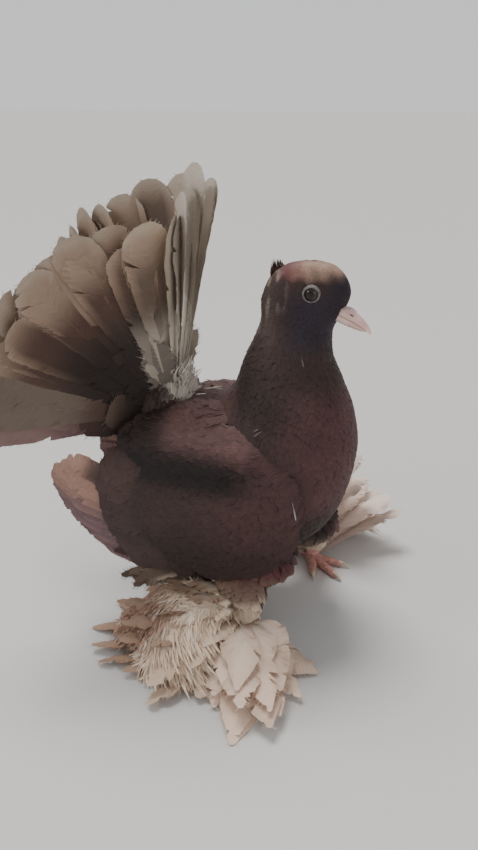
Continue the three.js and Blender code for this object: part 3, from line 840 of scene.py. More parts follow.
def tail_tint(angle, share, tone, turn):
    """Colours of a tail feather: pale in the middle of the fan, elsewhere dark with a light soft rim. The
    dark is the feathers' own brown with painted shade from the hollow of the fan, and the rim their own pale
    colour with painted backlight through the thin tips.
    """
    long = share > COVERT_SHARE
    middle = smooth(angle, 20, 10)
    near_middle = 0.75 * smooth(angle, 34, 18)
    next_to = smooth(angle, 9, 14) * smooth(angle, 27, 20)
    grey = smooth(angle, 62, 68) * smooth(angle, 82, 76)
    lowest = smooth(angle, 78, 84) * long
    fade = np.interp(angle, *FADE) + turn

    def tint(s, side):
        far = s * share
        edge = smooth(abs(side), 0.45, 1)
        return tone * painted(
            # Painted shade in the hollow of the fan, fading out along each feather.
            TAIL_DARK,
            (TAIL_BROWN, smooth(far, fade - 0.3, fade)),
            (OLIVE, next_to * 0.8 * smooth(far, 0.2, 0.45)),
            # Painted backlight along the rim and the edges of the long feathers.
            (BACKLIT_TIP, 0.85 * smooth(far + 0.12 * edge, fade, fade + 0.2)),
            (BACKLIT_TIP, 0.3 * edge * smooth(far, 0.4, 0.6) * long),
            (GREY, grey * 0.8 * smooth(far, 0.3, 0.5)),
            # Paler at the very ends, partly their own colour and partly painted backlight.
            (PALE, 0.5 * smooth(far + 0.05 * edge, 0.9, 1.0)),
            (PALE, middle * mix(0.95, 0.75, edge)),
            (PALE, near_middle * smooth(far, 0.6, 0.4)),
            (WHITE, middle * 0.7 * smooth(far, 0.6, 0.3)),
            (MAUVE, lowest * (0.5 + 0.2 * smooth(far, 0.3, 0.7))),
        )

    return tint


def tail_feather(coat, rng, half, rank, i, cell):
    """One tail feather. The short ones leave the middle of the fan bare."""
    angle = rank["from"] + rank["step"] * i + rng.normal(0, 0.7)
    share = rank["share"]
    covert = share < COVERT_SHARE
    if covert and angle < (18 if rank["lift"] > 0 else 5):
        return
    way, across, out = tail_frame(half, angle)
    longest = mix(TAIL["length"], half["length"], smooth(angle, 0, 14))
    reach = longest * share * (1 + rng.normal(0, 0.08 if covert else 0.02))
    curl, sway, twist = rng.normal(-3, 3.5), rng.normal(0, 4), rng.normal(0, 0.14)

    def spot(s, v, lift):
        high = lift + rank["lift"] * smooth(s, 0, 0.25) + (rank["tilt"] + twist * s) * v + curl * s * s
        return moved(APEX, (way, mix(14, reach, s)), (across, v + sway * s * s), (out, high))

    tint = tail_tint(angle, share, 1 + rng.normal(0, 0.08), rng.normal(0, 0.05))
    feather(coat, rng, spot, rank["half"], reach, rank["barbs"], tint, cell, rings=rank["rings"], arch=0.1,
            ragged=0.03, loose=0.35 if covert else 0.15, fine=0.22, shoulder=0.55 if covert else 0.8)


def back_height(x):
    """The height of the back over a place along the bird."""
    return np.interp(x, STATIONS[2:13, 2], STATIONS[2:13, 3])


def tail_fluff(material):
    """White down at the root of the tail, rising into its middle feathers, and a few strands on the back."""
    rng = dice(95)
    number, strands = 800, 12
    y = rng.normal(-5, 5.5, number)
    high = rng.uniform(0, 1, number) ** 1.4
    root = vector(rng.uniform(-48, -36, number), y, 163 + 30 * high - 0.25 * abs(y + 5))
    lean = vector(rng.normal(0.15, 0.25, number), y / 40 + rng.normal(0, 0.18, number), 1)
    x, y = rng.uniform(-42, -22, strands), rng.normal(0, 12, strands)
    over = vector(x, y, back_height(x) - y**2 / 90 + 0.4)
    ahead = vector(1, rng.normal(0, 0.5, strands), rng.normal(0.1, 0.12, strands))
    root, lean = np.concatenate([root, over]), np.concatenate([lean, ahead])
    number += strands
    reach = rng.uniform(6, 14, (number, 1, 1))
    s = DOWN_STEPS[:, None]
    curl = rng.normal(0, 1, (number, 1, 3)) * np.array([1.6, 1.6, 1])
    line = root[:, None] + unit(lean)[:, None] * reach * (s - 0.15) + curl * s * s
    wide = np.array([0.2, 0.4, 0.34, 0.2]) * rng.uniform(0.7, 1.4, (number, 1))
    # A small painted shadow in the down, where it looks hollow.
    hollow_shadow = np.hypot(root[:, 1] + 9, root[:, 2] - 164) < 4
    tint = painted(PALE, (WHITE, rng.uniform(0.2, 0.7, (number, 1))))
    tint = tint * np.where(hollow_shadow, 0.2, 0.95)[:, None, None]
    place = vector(0.5 + root[:, 1] / 90, (root[:, 0] + 60) / 45)
    up = unit(np.array([0.6, -0.5, 0.6]))
    return single_locks("tail_fluff", line, up, wide, tint, place, 0.15, material)


def ball_sites(rng, centre, radii, tries):
    """Spots spread over an ellipsoid, with the way out at each."""
    way = unit(rng.normal(0, 1, (tries, 3)))
    return np.array(centre) + way * np.array(radii), unit(way / np.array(radii))


RUMP = (TAIL["x"], 0, TAIL["z"] + 4)


def tail_root_plumage(material):
    """Feathers over the root of the tail, that lead from the back and the rump into the fan."""
    rng = dice(96)
    p, out = ball_sites(rng, RUMP, (21, 27, 28), 9000)
    kept = one_a_cell(p, 4.2)
    p, out = p[kept], out[kept]
    behind = smooth(p[:, 0], TAIL["x"] + 6, TAIL["x"] - 8)
    aim = vector(mix(-1, -0.5, behind), p[:, 1] / 27, mix(0.55, (p[:, 2] - TAIL["z"]) / 26, behind))
    place = vector(0.5 + p[:, 1] / 70, (p[:, 2] - 120) / 70)
    size = rng.uniform(13, 19, len(p))
    lift = rng.uniform(0, 0.08, len(p))
    return plumage("plumage_tail_root", material, rng, p, out, aim, size, lift, tail_root_colour, place,
                   wide=0.34)


# Wings

WING_MIDDLE = {"x": 10, "z": 112, "out": 66}

# Tiers of the folded wing, from the primaries up to the long coverts over them. outer is how much each shows
# of the primaries' colours. The roots and the tips lie along curves through three places, in x and z.
WING_TIERS = table(
    "count half tilt lift barbs deep sag outer root tip",
    (10, 10, 0.17, -9, 50, -15, 0.08, 1.0,
     ((-20, 112), (-24, 88), (-12, 66)), ((-122, 126), (-138, 98), (-98, 62))),
    (11, 11, 0.13, -5, 40, -12, 0.06, 0.08,
     ((-18, 150), (-18, 112), (-6, 72)), ((-78, 140), (-92, 106), (-72, 60))),
    (12, 9, 0.1, -2.5, 18, -9, 0.04, 0,
     ((4, 156), (12, 118), (16, 78)), ((-48, 152), (-46, 110), (-32, 60))),
    (13, 8, 0.1, -1, 12, -8, 0.03, 0,
     ((20, 156), (30, 118), (30, 80)), ((-22, 156), (-18, 112), (-8, 62))),
)


def wing_side(x, z):
    """How far the outer face of a folded wing stands from the middle of the bird."""
    ahead, above = x - WING_MIDDLE["x"], z - WING_MIDDLE["z"]
    fall = np.where(ahead > 0, 15 * (ahead / 52) ** 2, 17 * (ahead / 135) ** 2)
    fall = fall + np.where(above > 0, 33, 8) * (above / 60) ** 2
    return WING_MIDDLE["out"] - fall


def on_wing(side, x, z, lift):
    """Points over the outer face of a folded wing."""
    step = 0.5
    slope_x = (wing_side(x + step, z) - wing_side(x - step, z)) / (2 * step)
    slope_z = (wing_side(x, z + step) - wing_side(x, z - step)) / (2 * step)
    spot = moved(vector(x, wing_side(x, z), z), (unit(vector(-slope_x, 1, -slope_z)), lift))
    return spot * np.array([1, side, 1])


def wing_tint(outer, t, tone):
    """Colours of the wing's long feathers. t runs down each tier."""
    upper = smooth(t, 0.55, 0.2)
    first = smooth(t, 0.12, 0.04)

    def tint(s, side):
        return tone * painted(
            BROWN,
            (DARK, 0.3 * smooth(s, 0.5, 0)),
            (MAUVE, outer * smooth(s, 0.35, 0.65) * (0.8 - 0.3 * upper)),
            (PEACH, outer * 0.85 * smooth(s, 0.45, 0.65) * upper),
            (DARK, outer * 0.8 * first * smooth(s, 0.5, 0.65) * smooth(s, 0.9, 0.75)),
            (PEACH, outer * 0.35 * smooth(abs(side), 0.6, 1) * smooth(s, 0.4, 0.6)),
        )

    return tint


def wing_feather(coat, rng, side, tier, i, cell):
    """One long feather of a folded wing."""
    t = i / (tier["count"] - 1)
    root, tip = along(tier["root"], t), along(tier["tip"], t)
    length = np.linalg.norm(tip - root)
    way = (tip - root) / length
    down = np.array([-way[1], way[0]])
    reach = length * (1 + rng.normal(0, 0.02))
    sag = length * tier["sag"] * mix(0.4, 1.5, t)

    def spot(s, v, out):
        place = moved(root, (way, reach * s), (down, v + sag * 4 * s * (1 - s)))
        rise = mix(tier["deep"], tier["lift"], smooth(s, 0, 0.35)) + tier["tilt"] * v
        return on_wing(side, place[..., 0], place[..., 1], rise + out)

    tint = wing_tint(tier["outer"], t, 1 + rng.normal(0, 0.05))
    feather(coat, rng, spot, tier["half"], reach, tier["barbs"], tint, cell, rings=tier["barbs"] * 2 // 3,
            arch=0.1, loose=0.12)


def scapulars(name, side, stream, material):
    """Broad feathers that root on the back and lie over the top edge of the wing."""
    rng = dice(stream)
    tries = 5000
    x, u = rng.uniform(-58, 2, tries), rng.uniform(0, 1, tries)
    kept = one_a_cell(vector(x, u * 34), 4)
    x, u = x[kept], u[kept]

    def sheet(x, u):
        inner = vector(x, 14, np.minimum(back_height(x), 177) - 2.2)
        low = 150 + 13 * np.sqrt(np.clip(1 - ((x + 6) / 56) ** 2, 0, 1))
        u = u[:, None]
        return mix(inner, on_wing(1, x, low, 2.5), u) + np.array([0, 2.0, 4.5]) * 4 * u * (1 - u)

    p = sheet(x, u)
    out = unit(np.cross(sheet(x, u + 0.01) - p, sheet(x + 0.5, u) - p))
    out = out * np.sign(out[:, 2:])
    aim = vector(-1, 0.22 + rng.normal(0, 0.08, len(x)), -0.1)
    p, out, aim = (value * np.array([1, side, 1]) for value in (p, out, aim))
    place = vector((x + 65) / 90, 0.1 + 0.8 * u)
    size = rng.uniform(15, 19, len(x))
    return plumage("plumage_scapulars_" + name, material, rng, p, out, aim, size, 0, shield_colour, place,
                   wide=0.36, depth=2.5)


def wing_coverts(name, side, stream, material):
    """Small feathers over the shield of a folded wing, and longer ones on the lobe over its shoulder."""
    rng = dice(stream)
    tries = 30000
    x, z = rng.uniform(-62, 62, tries), rng.uniform(62, 162, tries)
    keep = (within(SHIELD, x, z) > 0) | (within(MANTLE_LOBE, x, z) > 0)
    x, z = x[keep], z[keep]
    kept = one_a_cell(vector(x, z), 3.1)
    x, z = x[kept], z[kept]
    number = len(x)
    over = within(MANTLE_LOBE, x, z)
    size = np.where(over > 0, 17, 13) * rng.uniform(0.85, 1.15, number)
    fall = np.where(over > 0, 0.14, 0.3 + 0.5 * smooth(x, 20, 55))
    high = 0.5 + 1.9 * smooth(over, 0, 0.5)
    p = on_wing(side, x, z, high)
    out = unit(on_wing(side, x, z, high + 1) - p)
    aim = vector(-1, rng.normal(0, 0.05, number), -fall + rng.normal(0, 0.06, number))
    place = vector((x + 70) / 140, (z - 55) / 115)
    return plumage("wing_coverts_" + name, material, rng, p, out, aim, size, 0, shield_colour, place,
                   depth=2.0)


# Pale feathers on the near side: where they grow in x and z, how many, how far apart, the way they point in
# x and z, their length, half their width as a share of it, and how pale they are.
STRAYS = (
    (57, 120, 1, 0.3, 0.1, -1, 13, 0.045, 0.4),
    (31, 168, 3, 1.2, -0.6, -0.7, 6, 0.12, 0.12),
    (52, 213, 3, 1.0, 0.4, -0.9, 8, 0.07, 0.1),
)


def side_reach(x, z):
    """How far out the body or the folded wing stands at a place seen from the side."""
    p = body(*np.meshgrid(np.linspace(4, 18, 80), np.linspace(0.2, math.pi - 0.2, 60)))
    near = np.argmin((p[..., 0] - x) ** 2 + (p[..., 2] - z) ** 2)
    reach = p[..., 1].flat[near]
    return max(reach, wing_side(x, z) + 0.5) if within(SHIELD, x, z) > 0 else reach


def stray_feathers(material):
    """The few pale feathers on the near side: at the bend of the wing, on the shoulder and on the throat."""
    rng = dice(97)
    coat = Coat("stray_feathers")
    for x, z, count, spread, way_x, way_z, reach, wide, pale in STRAYS:
        px = x + rng.normal(0, spread, count)
        pz = z + rng.normal(0, spread * 2, count)
        py = -np.array([side_reach(a, b) for a, b in zip(px, pz)]) - 0.3
        out = unit(np.tile([0.15, -1, 0.1], (count, 1)))
        way = vector(way_x + rng.normal(0, 0.15, count), 0, way_z)
        size = reach * rng.uniform(0.7, 1.1, count)
        place = vector(0.2 + px / 200, pz / 300)

        def tint(p):
            return painted(BROWN, (WHITE, pale * (0.8 + 0.2 * patches(p, 0.5, 7))))

        small_feathers(coat, rng, vector(px, py, pz), out, way, size, 0.07, tint, place,
                       wide=wide, depth=0.5, fringe=False)
    return coat.finish(material)


# Feet

# Tiers of a muff, from the floor up. share is of the muff's reach, root and tip are heights over the floor,
# lifted is what the tips gain from front to back, hump is how far the feathers arch, uneven is how much
# their lengths differ, and ahead says that the near muff has the tier in front too.
MUFF_TIERS = table(
    "count half share root tip lifted hump uneven ahead",
    (15, 12, 1, 6, 1.8, 0, 5, 0.04, True),
    (12, 13, 0.88, 11, 6, 9, 8, 0.1, True),
    (11, 12.5, 0.75, 17, 11, 15, 10, 0.1, True),
    (10, 12, 0.6, 24, 19, 18, 12, 0.1, True),
    (9, 11, 0.46, 31, 28, 16, 12, 0.1, False),
    (8, 9, 0.32, 37, 35, 8, 9, 0.1, False),
)
MUFF_ROOT = 6  # where the muff's feathers begin, from the middle of the shank
PLUMES = 16
DOME_REACH = 0.86  # of the muff's reach


def muff_tint(t, tone, warm, foot):
    """Colours of a muff feather: cream behind, pink in front, with rusty shadows low at the back."""
    near = foot["near"]
    back = smooth(t, 0.4, 0.6) * near
    low = smooth(t, 0.55, 0.75)
    ground = painted(PINK, (CREAM, 0.6 + 0.3 * back)) if near else painted(PINK, (WHITE, 0.5))

    def tint(s, side):
        side = abs(side)
        return tone * painted(
            ground,
            (RUST, warm if near else 0.4 * warm),
            # Rust at the roots and low at the back: the feathers' own rusty brown, with painted shade in it.
            (RUST, (0.6 if near else 0.25) * smooth(s, 0.45, 0.1)),
            (RUST, 0.7 * low * back * smooth(s, 0.35, 0.7)),
            (RUST, 0.3 * smooth(side, 0.4, 1.0) * smooth(s, 0.4, 0.9)),
            (WHITE, 0.3 * smooth(side, 0.25, 0) * smooth(s, 0.9, 0.4)),
        )

    return tint


def muff_reach(foot, t):
    return through(foot["reach"], (len(foot["reach"]) - 1) * np.asarray(t))


def muff_feather(coat, rng, foot, tier, i, cell):
    """One feather of a muff. The near one has fewer tiers in front, of longer and tidier feathers."""
    t = i / (tier["count"] - 1)
    front = foot["near"] * smooth(t, 0.52, 0.4)
    if front > 0.5 and not tier["ahead"]:
        return
    angle = math.radians(mix(foot["from"], foot["to"], t) + rng.normal(0, 5))
    share = mix(tier["share"], 1, 0.45 * front)
    edge = muff_reach(foot, t)
    far = min(edge * share * (1 + rng.normal(0, tier["uneven"])), edge * 1.02)
    raised = foot["rise"] * (1 - smooth(t, 0, 0.55))
    raised += foot["plume"] * smooth(t, 0.3, 0) * (1 - tier["share"])
    high = tier["tip"] + tier["lifted"] * t + raised
    tilt, bend, curl = 0.12 + rng.normal(0, 0.14), rng.normal(0, 8), rng.uniform(-2, 5)

    def spot(s, v, lift):
        r = mix(MUFF_ROOT, far, s)
        w = v + bend * s * s
        z = mix(tier["root"], high, s) + tier["hump"] * 3.2 * s * (1 - s)
        z = z + lift + tilt * v * smooth(s, 0, 0.5)
        z = np.maximum(z + curl * np.maximum(s - 0.7, 0) * 3, 0.4)
        x = foot["x"] - r * math.sin(angle) + w * math.cos(angle)
        y = foot["side"] * (foot["y"] + r * math.cos(angle) + w * math.sin(angle))
        return vector(x, y, z)

    tint = muff_tint(t, 1 + rng.normal(0, 0.07), rng.uniform(0, 0.2), foot)
    half = tier["half"] * (1 + 0.1 * front) * rng.uniform(0.75, 1.1)
    feather(coat, rng, spot, half, far, 26, tint, cell, rings=22, splits=2 if front > 0.5 else 3,
            ragged=mix(0.06, 0.035, front), arch=0.2, ripple=1.4, loose=mix(0.42, 0.25, front), fine=0.2,
            shoulder=mix(0.6, 0.5, front), point=mix(0.6, 1, front))


def muff_down(name, foot, stream, material):
    """Curled hair-like down over a muff: it rounds the back of the near one into a dome."""
    rng = dice(stream)
    number, side, low = foot["down"], foot["side"], foot["down_from"]
    t = rng.uniform(low, 1.0, number)
    share = 0.94 * rng.uniform(0, 1, number) ** 0.75
    angle = np.radians(mix(foot["from"], foot["to"], t))
    edge = muff_reach(foot, t) * DOME_REACH
    swell = foot["dome"] * smooth(t, low - 0.15, low + 0.15)
    outward = vector(-np.sin(angle), side * np.cos(angle), 0)
    across = vector(np.cos(angle), side * np.sin(angle), 0)

    def surface(share):
        z = 7 + (ANKLE - 3 + swell * 4 * share * (1 - share) ** 0.8) * (1 - share**2.4)
        shank = np.array([foot["x"], side * foot["y"], 0])
        return moved(shank, (outward, mix(MUFF_ROOT, edge, share)), (np.array([0, 0, 1]), z))

    p = surface(share)
    lie = unit(surface(share + 0.02) - p)
    out = unit(np.cross(across, lie))
    out = out * np.sign(out[:, 2:] + 1e-6)
    size = rng.uniform(8, 17, number) * mix(0.8, 1.2, share)
    swirl = 0.7 * patches(p, 0.12, 5)[:, None]
    swirl = swirl + rng.normal(0, 0.3, (number, 1))
    way = unit(lie + across * swirl + out * rng.uniform(-0.1, 0.2, (number, 1)))
    s = STEPS[:, None]
    curl = across[:, None] * rng.normal(0, 6, (number, 1, 1))
    curl = curl - out[:, None] * rng.uniform(1, 5, (number, 1, 1))
    line = p[:, None] + way[:, None] * size[:, None, None] * (s - 0.2) + curl * s * s
    line[..., 2] = np.maximum(line[..., 2], 0.5)
    wide = np.array([0.5, 0.8, 0.5]) * rng.uniform(0.4, 1.6, (number, 1))
    back = smooth(t, 0.6, 0.8) * foot["near"]
    tone = rng.normal(1, 0.1, (number, 1, 1))
    tint = painted(
        painted(PINK, (CREAM, 0.85) if foot["near"] else (WHITE, 0.45)),
        # Rust low at the back: the down's own rusty brown, with painted shade in it.
        (RUST, 0.85 * back * smooth(share, 0.3, 0.7)),
        (VENT, 0.3 * smooth(share, 0.35, 0.1)),
        (RUST, 0.35 * (rng.uniform(0, 1, number) < 0.25)),
        (WHITE, 0.45 * (rng.uniform(0, 1, number) < 0.12)),
    )
    # Painted shade among the roots of the down, lighter towards the tips.
    tint = tint[:, None] * mix(0.85, 1.1, s) * tone
    place = vector(t, 0.1 + 0.8 * share)
    return single_locks("muff_down_" + name, line, out[:, None], wide, tint, place, 0.2, material)


def hock_plume(coat, rng, foot, i):
    """One long soft feather from the back of the thigh."""
    side = foot["side"]
    t = i / (PLUMES - 1)
    root = np.array([foot["x"] - 14 - 10 * t, side * (30 + 8 * (i % 2)), 66 - 6 * (i % 3)])
    tip = np.array([mix(-82, -24, t), side * mix(50, 36, t), mix(50, 26, t)]) + rng.normal(0, 4, 3)
    way = unit(tip - root)
    length = np.linalg.norm(tip - root)
    across = unit(np.cross(way, np.array([0, side, 0.15])))
    out = unit(np.cross(way, across)) * -side
    curl, sway = rng.uniform(-1, 5), rng.normal(0, 5)
    down = np.array([0, 0, -1])

    def spot(s, v, lift):
        high = lift + 4 * s * (1 - s)
        return moved(root, (way, length * s), (across, v + sway * s * s), (out, high), (down, curl * s * s))

    tone = 1 + rng.normal(0, 0.12)
    pale = rng.uniform(0.2, 1)

    def tint(s, across):
        edge = smooth(abs(across), 0.5, 1)
        light = painted(BROWN, (VENT, 0.4 * pale * smooth(s, 0.1, 0.6)))
        return tone * painted(light, (CREAM, 0.6 * pale * edge * smooth(s, 0.3, 0.8)))

    cell = (i / PLUMES, 0.02, 0.95 / PLUMES, 0.95)
    feather(coat, rng, spot, 7.5, length, 34, tint, cell, rings=20, splits=3, ragged=0.08, arch=0.2,
            ripple=1.2, loose=0.45, fine=0.26, shoulder=0.55, point=0.6)


def hock_plumes(name, foot, stream, material):
    """Long soft feathers that hang behind the leg under the wing."""
    rng = dice(stream)
    coat = Coat("hock_plumes_" + name)
    for i in range(PLUMES):
        hock_plume(coat, rng, foot, i)
    return coat.finish(material)


def flank(foot):
    return (foot["x"], foot["side"] * 33, 70)


def shin_places(foot, shrink=0):
    side, x, y = foot["side"], foot["x"], foot["y"]
    return np.array([
        (x - 8, side * 24, 92, 16 - shrink),
        (x - 8, side * 29, 74, 21 - shrink),
        (x - 6, side * mix(30, y, 0.4), 57, 18 - shrink),
        (x - 2, side * mix(30, y, 0.8), 42, 12 - shrink),
        (x, side * y, ANKLE - 6, 9 - shrink),
    ], dtype=float)


def leg_plumage(name, foot, stream, material):
    """Soft feathers down the thigh and leg, pointing to the floor."""
    rng = dice(stream)
    places = shin_places(foot)
    tries = 9000
    at = rng.uniform(0.4, 3.95, tries)
    turn = rng.uniform(0, 2 * math.pi, tries)[:, None]
    row = through(places, at)
    way = limb_way(places, at)
    level = unit(np.cross(way, np.array([0, 1.0, 0])))
    out = unit(level * np.cos(turn) + np.cross(way, level) * np.sin(turn))
    p = row[:, :3] + out * row[:, 3:]
    flank_p, flank_out = ball_sites(rng, flank(foot), (29, 19, 22), tries // 2)
    p, out = np.concatenate([p, flank_p]), np.concatenate([out, flank_out])
    way = np.concatenate([way, np.tile([-0.55, 0, -0.85], (len(flank_p), 1))])
    kept = one_a_cell(p, 4.1)
    p, out, way = p[kept], out[kept], way[kept]
    place = vector((p[:, 0] + 20) / 90, p[:, 2] / 110)
    size = rng.uniform(14, 20, len(p))
    lift = rng.uniform(0, 0.1, len(p))
    return plumage("leg_feathers_" + name, material, rng, p, out, way, size, lift, leg_or_body_colour, place)


def build_skin(material):
    """One skin under the whole coat: head, neck, body, flesh of the wings, root of the tail and legs."""
    at, turn = np.meshgrid(np.linspace(0, CROWN, 110), circle(56), indexing="ij")
    depth = np.interp(at, [0, 10, 13, 15, 19], [COAT_DEPTH, COAT_DEPTH, 1.8, 1.0, 1.0])
    pieces = [tube("skin_body", body(at, turn, -depth))]
    for foot in FEET.values():
        side = foot["side"]
        pieces += [
            tube("skin_leg", limb_rings(shin_places(foot, COAT_DEPTH), 20, 6)),
            ball("skin_flank", flank(foot), (26, 16, 19)),
            ball("skin_wing", (8, side * 42, 112), (46, 13, 38)),
            ball("skin_shoulder", (-18, side * 28, 151), (34, 13, 13)),
        ]
    pieces.append(ball("skin_rump", RUMP, (18, 24, 25)))
    skin = join(pieces, "skin")
    remesh = skin.modifiers.new("one_surface", "REMESH")
    remesh.mode = "VOXEL"
    remesh.voxel_size = 1.6 * MM
    remesh.use_smooth_shade = True
    soften = skin.modifiers.new("soften", "SMOOTH")
    soften.factor = 0.5
    soften.iterations = 3
    graph = bpy.context.evaluated_depsgraph_get()
    mesh = bpy.data.meshes.new_from_object(skin.evaluated_get(graph))
    skin.modifiers.clear()
    skin.data = mesh
    mesh.name = "skin"
    add_tint(mesh, leg_or_body_colour(read_points(mesh)) * 0.8)
    mesh.materials.clear()
    return dress(skin, material, "torso", "neck", "head", "leg_right", "leg_left")


TOES = ((0, 33), (36, 26), (-34, 26), (178, 17))  # the way each points and its length
TOE_RINGS = ((0, 5.5, 4.6), (0.35, 4.2, 3.6), (0.7, 3.5, 3.2), (1, 2.9, 2.5))  # share of length, z, radius
CLAW_RINGS = ((-3, 3.8, 2.0), (1, 4.0, 1.7), (4.5, 2.8, 1.0), (7.5, 0.9, 0.25))  # past the toe, z, radius


def build_foot(name, foot, skin_material, horn_material):
    x, y = foot["x"], foot["side"] * foot["y"]
    shank = [(x, y, ANKLE + 3, 6), (x, y, 14, 5.5), (x + 1, y, 4, 5.5)]
    pieces = [tube("shank", limb_rings(shank, 16, 4))]
    claws = []
    for turn, length in TOES:
        way = math.radians(foot["turn"] + turn)
        run, over = math.cos(way), math.sin(way)
        toe = [(x + length * t * run, y + length * t * over, z, radius) for t, z, radius in TOE_RINGS]
        rings = limb_rings(toe, 16, 14)
        # Scutes: low ridges across each toe.
        ridge = 1 + 0.06 * np.sin(np.arange(len(rings)) * math.pi * 2 / 3)
        centre = rings.mean(axis=1, keepdims=True)
        rings = centre + (rings - centre) * ridge[:, None, None]
        rings[..., 2] = np.maximum(rings[..., 2], 0.1)
        pieces.append(tube("toe", rings))
        claw = [(x + (length + t) * run, y + (length + t) * over, z, radius) for t, z, radius in CLAW_RINGS]
        claws.append(tube("claw", limb_rings(claw, 12, 6)))
    dress(join(pieces, "foot_skin_" + name), skin_material, "foot_" + name)
    dress(join(claws, "claws_" + name), horn_material)


# Head

# On the bill: the place along it, to the side and up, the half sizes, and the tilt from the bill's own.
CERE = (4.2, 1.9, 4.7, (4.8, 2.3, 1.9), 5)
NOSTRIL = (7.0, 3.45, 3.7, (1.7, 0.5, 0.42), -8)


def bill_point(far, y, up):
    x = BILL["x"] + far * BILL_RUN - up * BILL_RISE
    z = BILL["z"] + far * BILL_RISE + up * BILL_RUN
    return vector(x, y, z)


def build_jaw(name, sign, length, height, horn):
    """One half of the bill, over the gape where sign is 1 and under it where sign is -1."""
    far = np.linspace(BILL["root"], length, 40)[:, None]
    t = np.maximum(far, 0) / (length + 0.6)
    taper = (1 - t * t) ** 0.6
    droop = 2.6 * (np.maximum(far, 0) / BILL["length"]) ** 3
    half = BILL["half"] * (1 - 0.75 * t**1.3)
    turn = circle(28)
    arch = np.maximum(np.sin(turn), 0) ** 0.9 * height * taper
    rings = bill_point(far, half * np.cos(turn), sign * (0.15 + arch) - droop)
    dress(make_outward(tube(name + "_horn", rings)), horn, name)


def bill_part(name, side, shape, material):
    """A small ellipsoid on one side of the bill."""
    far, y, up, radii, tilt = shape
    piece = ball(name, (0, 0, 0), radii)
    pitch = math.radians(BILL["slope"] + tilt)
    turn = np.array(Euler((0, -pitch, 0)).to_matrix())
    write_points(piece.data, read_points(piece.data) @ turn.T + bill_point(far, side * y, up))
    piece.data.update()
    dress(piece, material)


def build_bill(horn, cere_material, slit_material):
    build_jaw("bill_upper", 1, BILL["length"], BILL["height"], horn)
    build_jaw("bill_lower", -1, BILL["length"] - 3.5, BILL["depth"], horn)
    for label, side in BOTH_SIDES.items():
        bill_part("cere_" + label, side, CERE, cere_material)
        bill_part("nostril_" + label, side, NOSTRIL, slit_material)


EYE_SHAPE = (5.3, 4.3, 5.3)  # the eyeball's half sizes: it is flatter from side to side
# The bare ring round the eye: its reach from the eye's axis and its place outwards, from the lid's edge
# over two low folds to under the feathers.
EYE_RING = (
    (4.5, 2.0), (4.5, 3.0), (4.75, 3.35), (5.0, 3.1), (5.2, 3.2),
    (5.5, 2.8), (5.7, 2.6), (6.0, 1.8), (6.0, 0.8),
)
RING_BACK = (4.3, 0.8)  # closes the ring behind the lid


def build_eye(label, side, material, ring_material):
    centre = (EYE["x"], side * EYE["y"], EYE["z"])
    dress(make_outward(ball("eyeball_" + label, centre, EYE_SHAPE)), material, "eye_" + label)
    rng = dice(70 + side)
    sides = 96
    turn = circle(sides)[:, None]
    profile = through(EYE_RING, np.linspace(0, len(EYE_RING) - 1, 33))
    profile = np.concatenate([profile, [RING_BACK]])
    wrinkle = sum(rng.uniform(0.4, 1) * np.sin(k * turn + rng.uniform(0, 6.3)) for k in (17, 23, 31, 44)) / 4
    upper = smooth(np.sin(turn), 0.1, 1)
    far, out = profile.T
    fold = smooth(far, 4.5, 4.9) * smooth(far, 6.2, 5.7)
    reach = far + 0.08 * wrinkle * fold - 0.35 * upper * smooth(far, 5.0, 4.5)
    stand = out + 0.12 * wrinkle * fold + 0.25 * upper * smooth(far, 5.4, 4.6)
    x, z = reach * np.cos(turn), reach * np.sin(turn)
    points = vector(EYE["x"] + x, side * (EYE["y"] + stand - 0.13 * x - 0.06 * z), EYE["z"] + z)
    rows = len(profile)
    i, j = np.meshgrid(np.arange(sides), np.arange(rows), indexing="ij")
    ahead, over = (i + 1) % sides, (j + 1) % rows
    quads = vector(i * rows + j, i * rows + over, ahead * rows + over, ahead * rows + j).reshape(-1, 4)
    dress(make_outward(make_mesh("eye_ring_" + label, points.reshape(-1, 3), [quads])), ring_material)


def build_crest(material):
    """A small pointed tuft at the back corner of the head, higher in its middle."""
    rng = dice(90)
    number = 560
    t = rng.uniform(-1, 1, number)
    row = rng.uniform(0, 1, number)
    root = vector(27 + 12 * row, 10 * t, 247 - 4 * t**2 + 18 * row)
    tip = vector(24 + 4 * row, 4 * t, 273 - 10 * abs(t) ** 1.3)
    tip = mix(root, tip, rng.uniform(0.6, 1.04, (number, 1))) + rng.normal(0, 0.5, (number, 3))
    root = root - 0.2 * (tip - root)
    s = STEPS[:, None]
    line = mix(root[:, None], tip[:, None], s) + np.array([-2.2, 0, -0.5]) * (4 * s * (1 - s))
    wide = np.array([0.7, 1.0, 0.6]) * rng.uniform(0.7, 1.2, (number, 1))
    red = mix(0.25, 0.95, rng.uniform(0, 1, (number, 1))) * STEPS
    pale = (row[:, None] > 0.72) & (rng.uniform(0, 1, (number, 1)) < 0.5)
    tint = painted(BROWN, (CREST_RED, red), (PALE, 0.6 * pale * STEPS))
    place = vector(0.5 + 0.3 * t, 0.2 + 0.6 * row)
    return single_locks("crest", line, unit(np.array([-0.8, 0, 0.5])), wide, tint, place, 0.25, material)


# Materials

def set_inputs(node, values):
    for name, value in values.items():
        node.inputs[name.replace("_", " ")].default_value = value


def new_material(name, **surface):
    """A material, its node tree and its shader, with the shader's inputs set."""
    made = bpy.data.materials.new(name)
    made.use_nodes = True
    shader = made.node_tree.nodes["Principled BSDF"]
    set_inputs(shader, surface)
    return made, made.node_tree, shader


def add(tree, kind, operation=None, **values):
    """A new node with its operation and its inputs set."""
    node = tree.nodes.new("ShaderNode" + kind)
    if operation:
        node.operation = operation
    set_inputs(node, values)
    return node


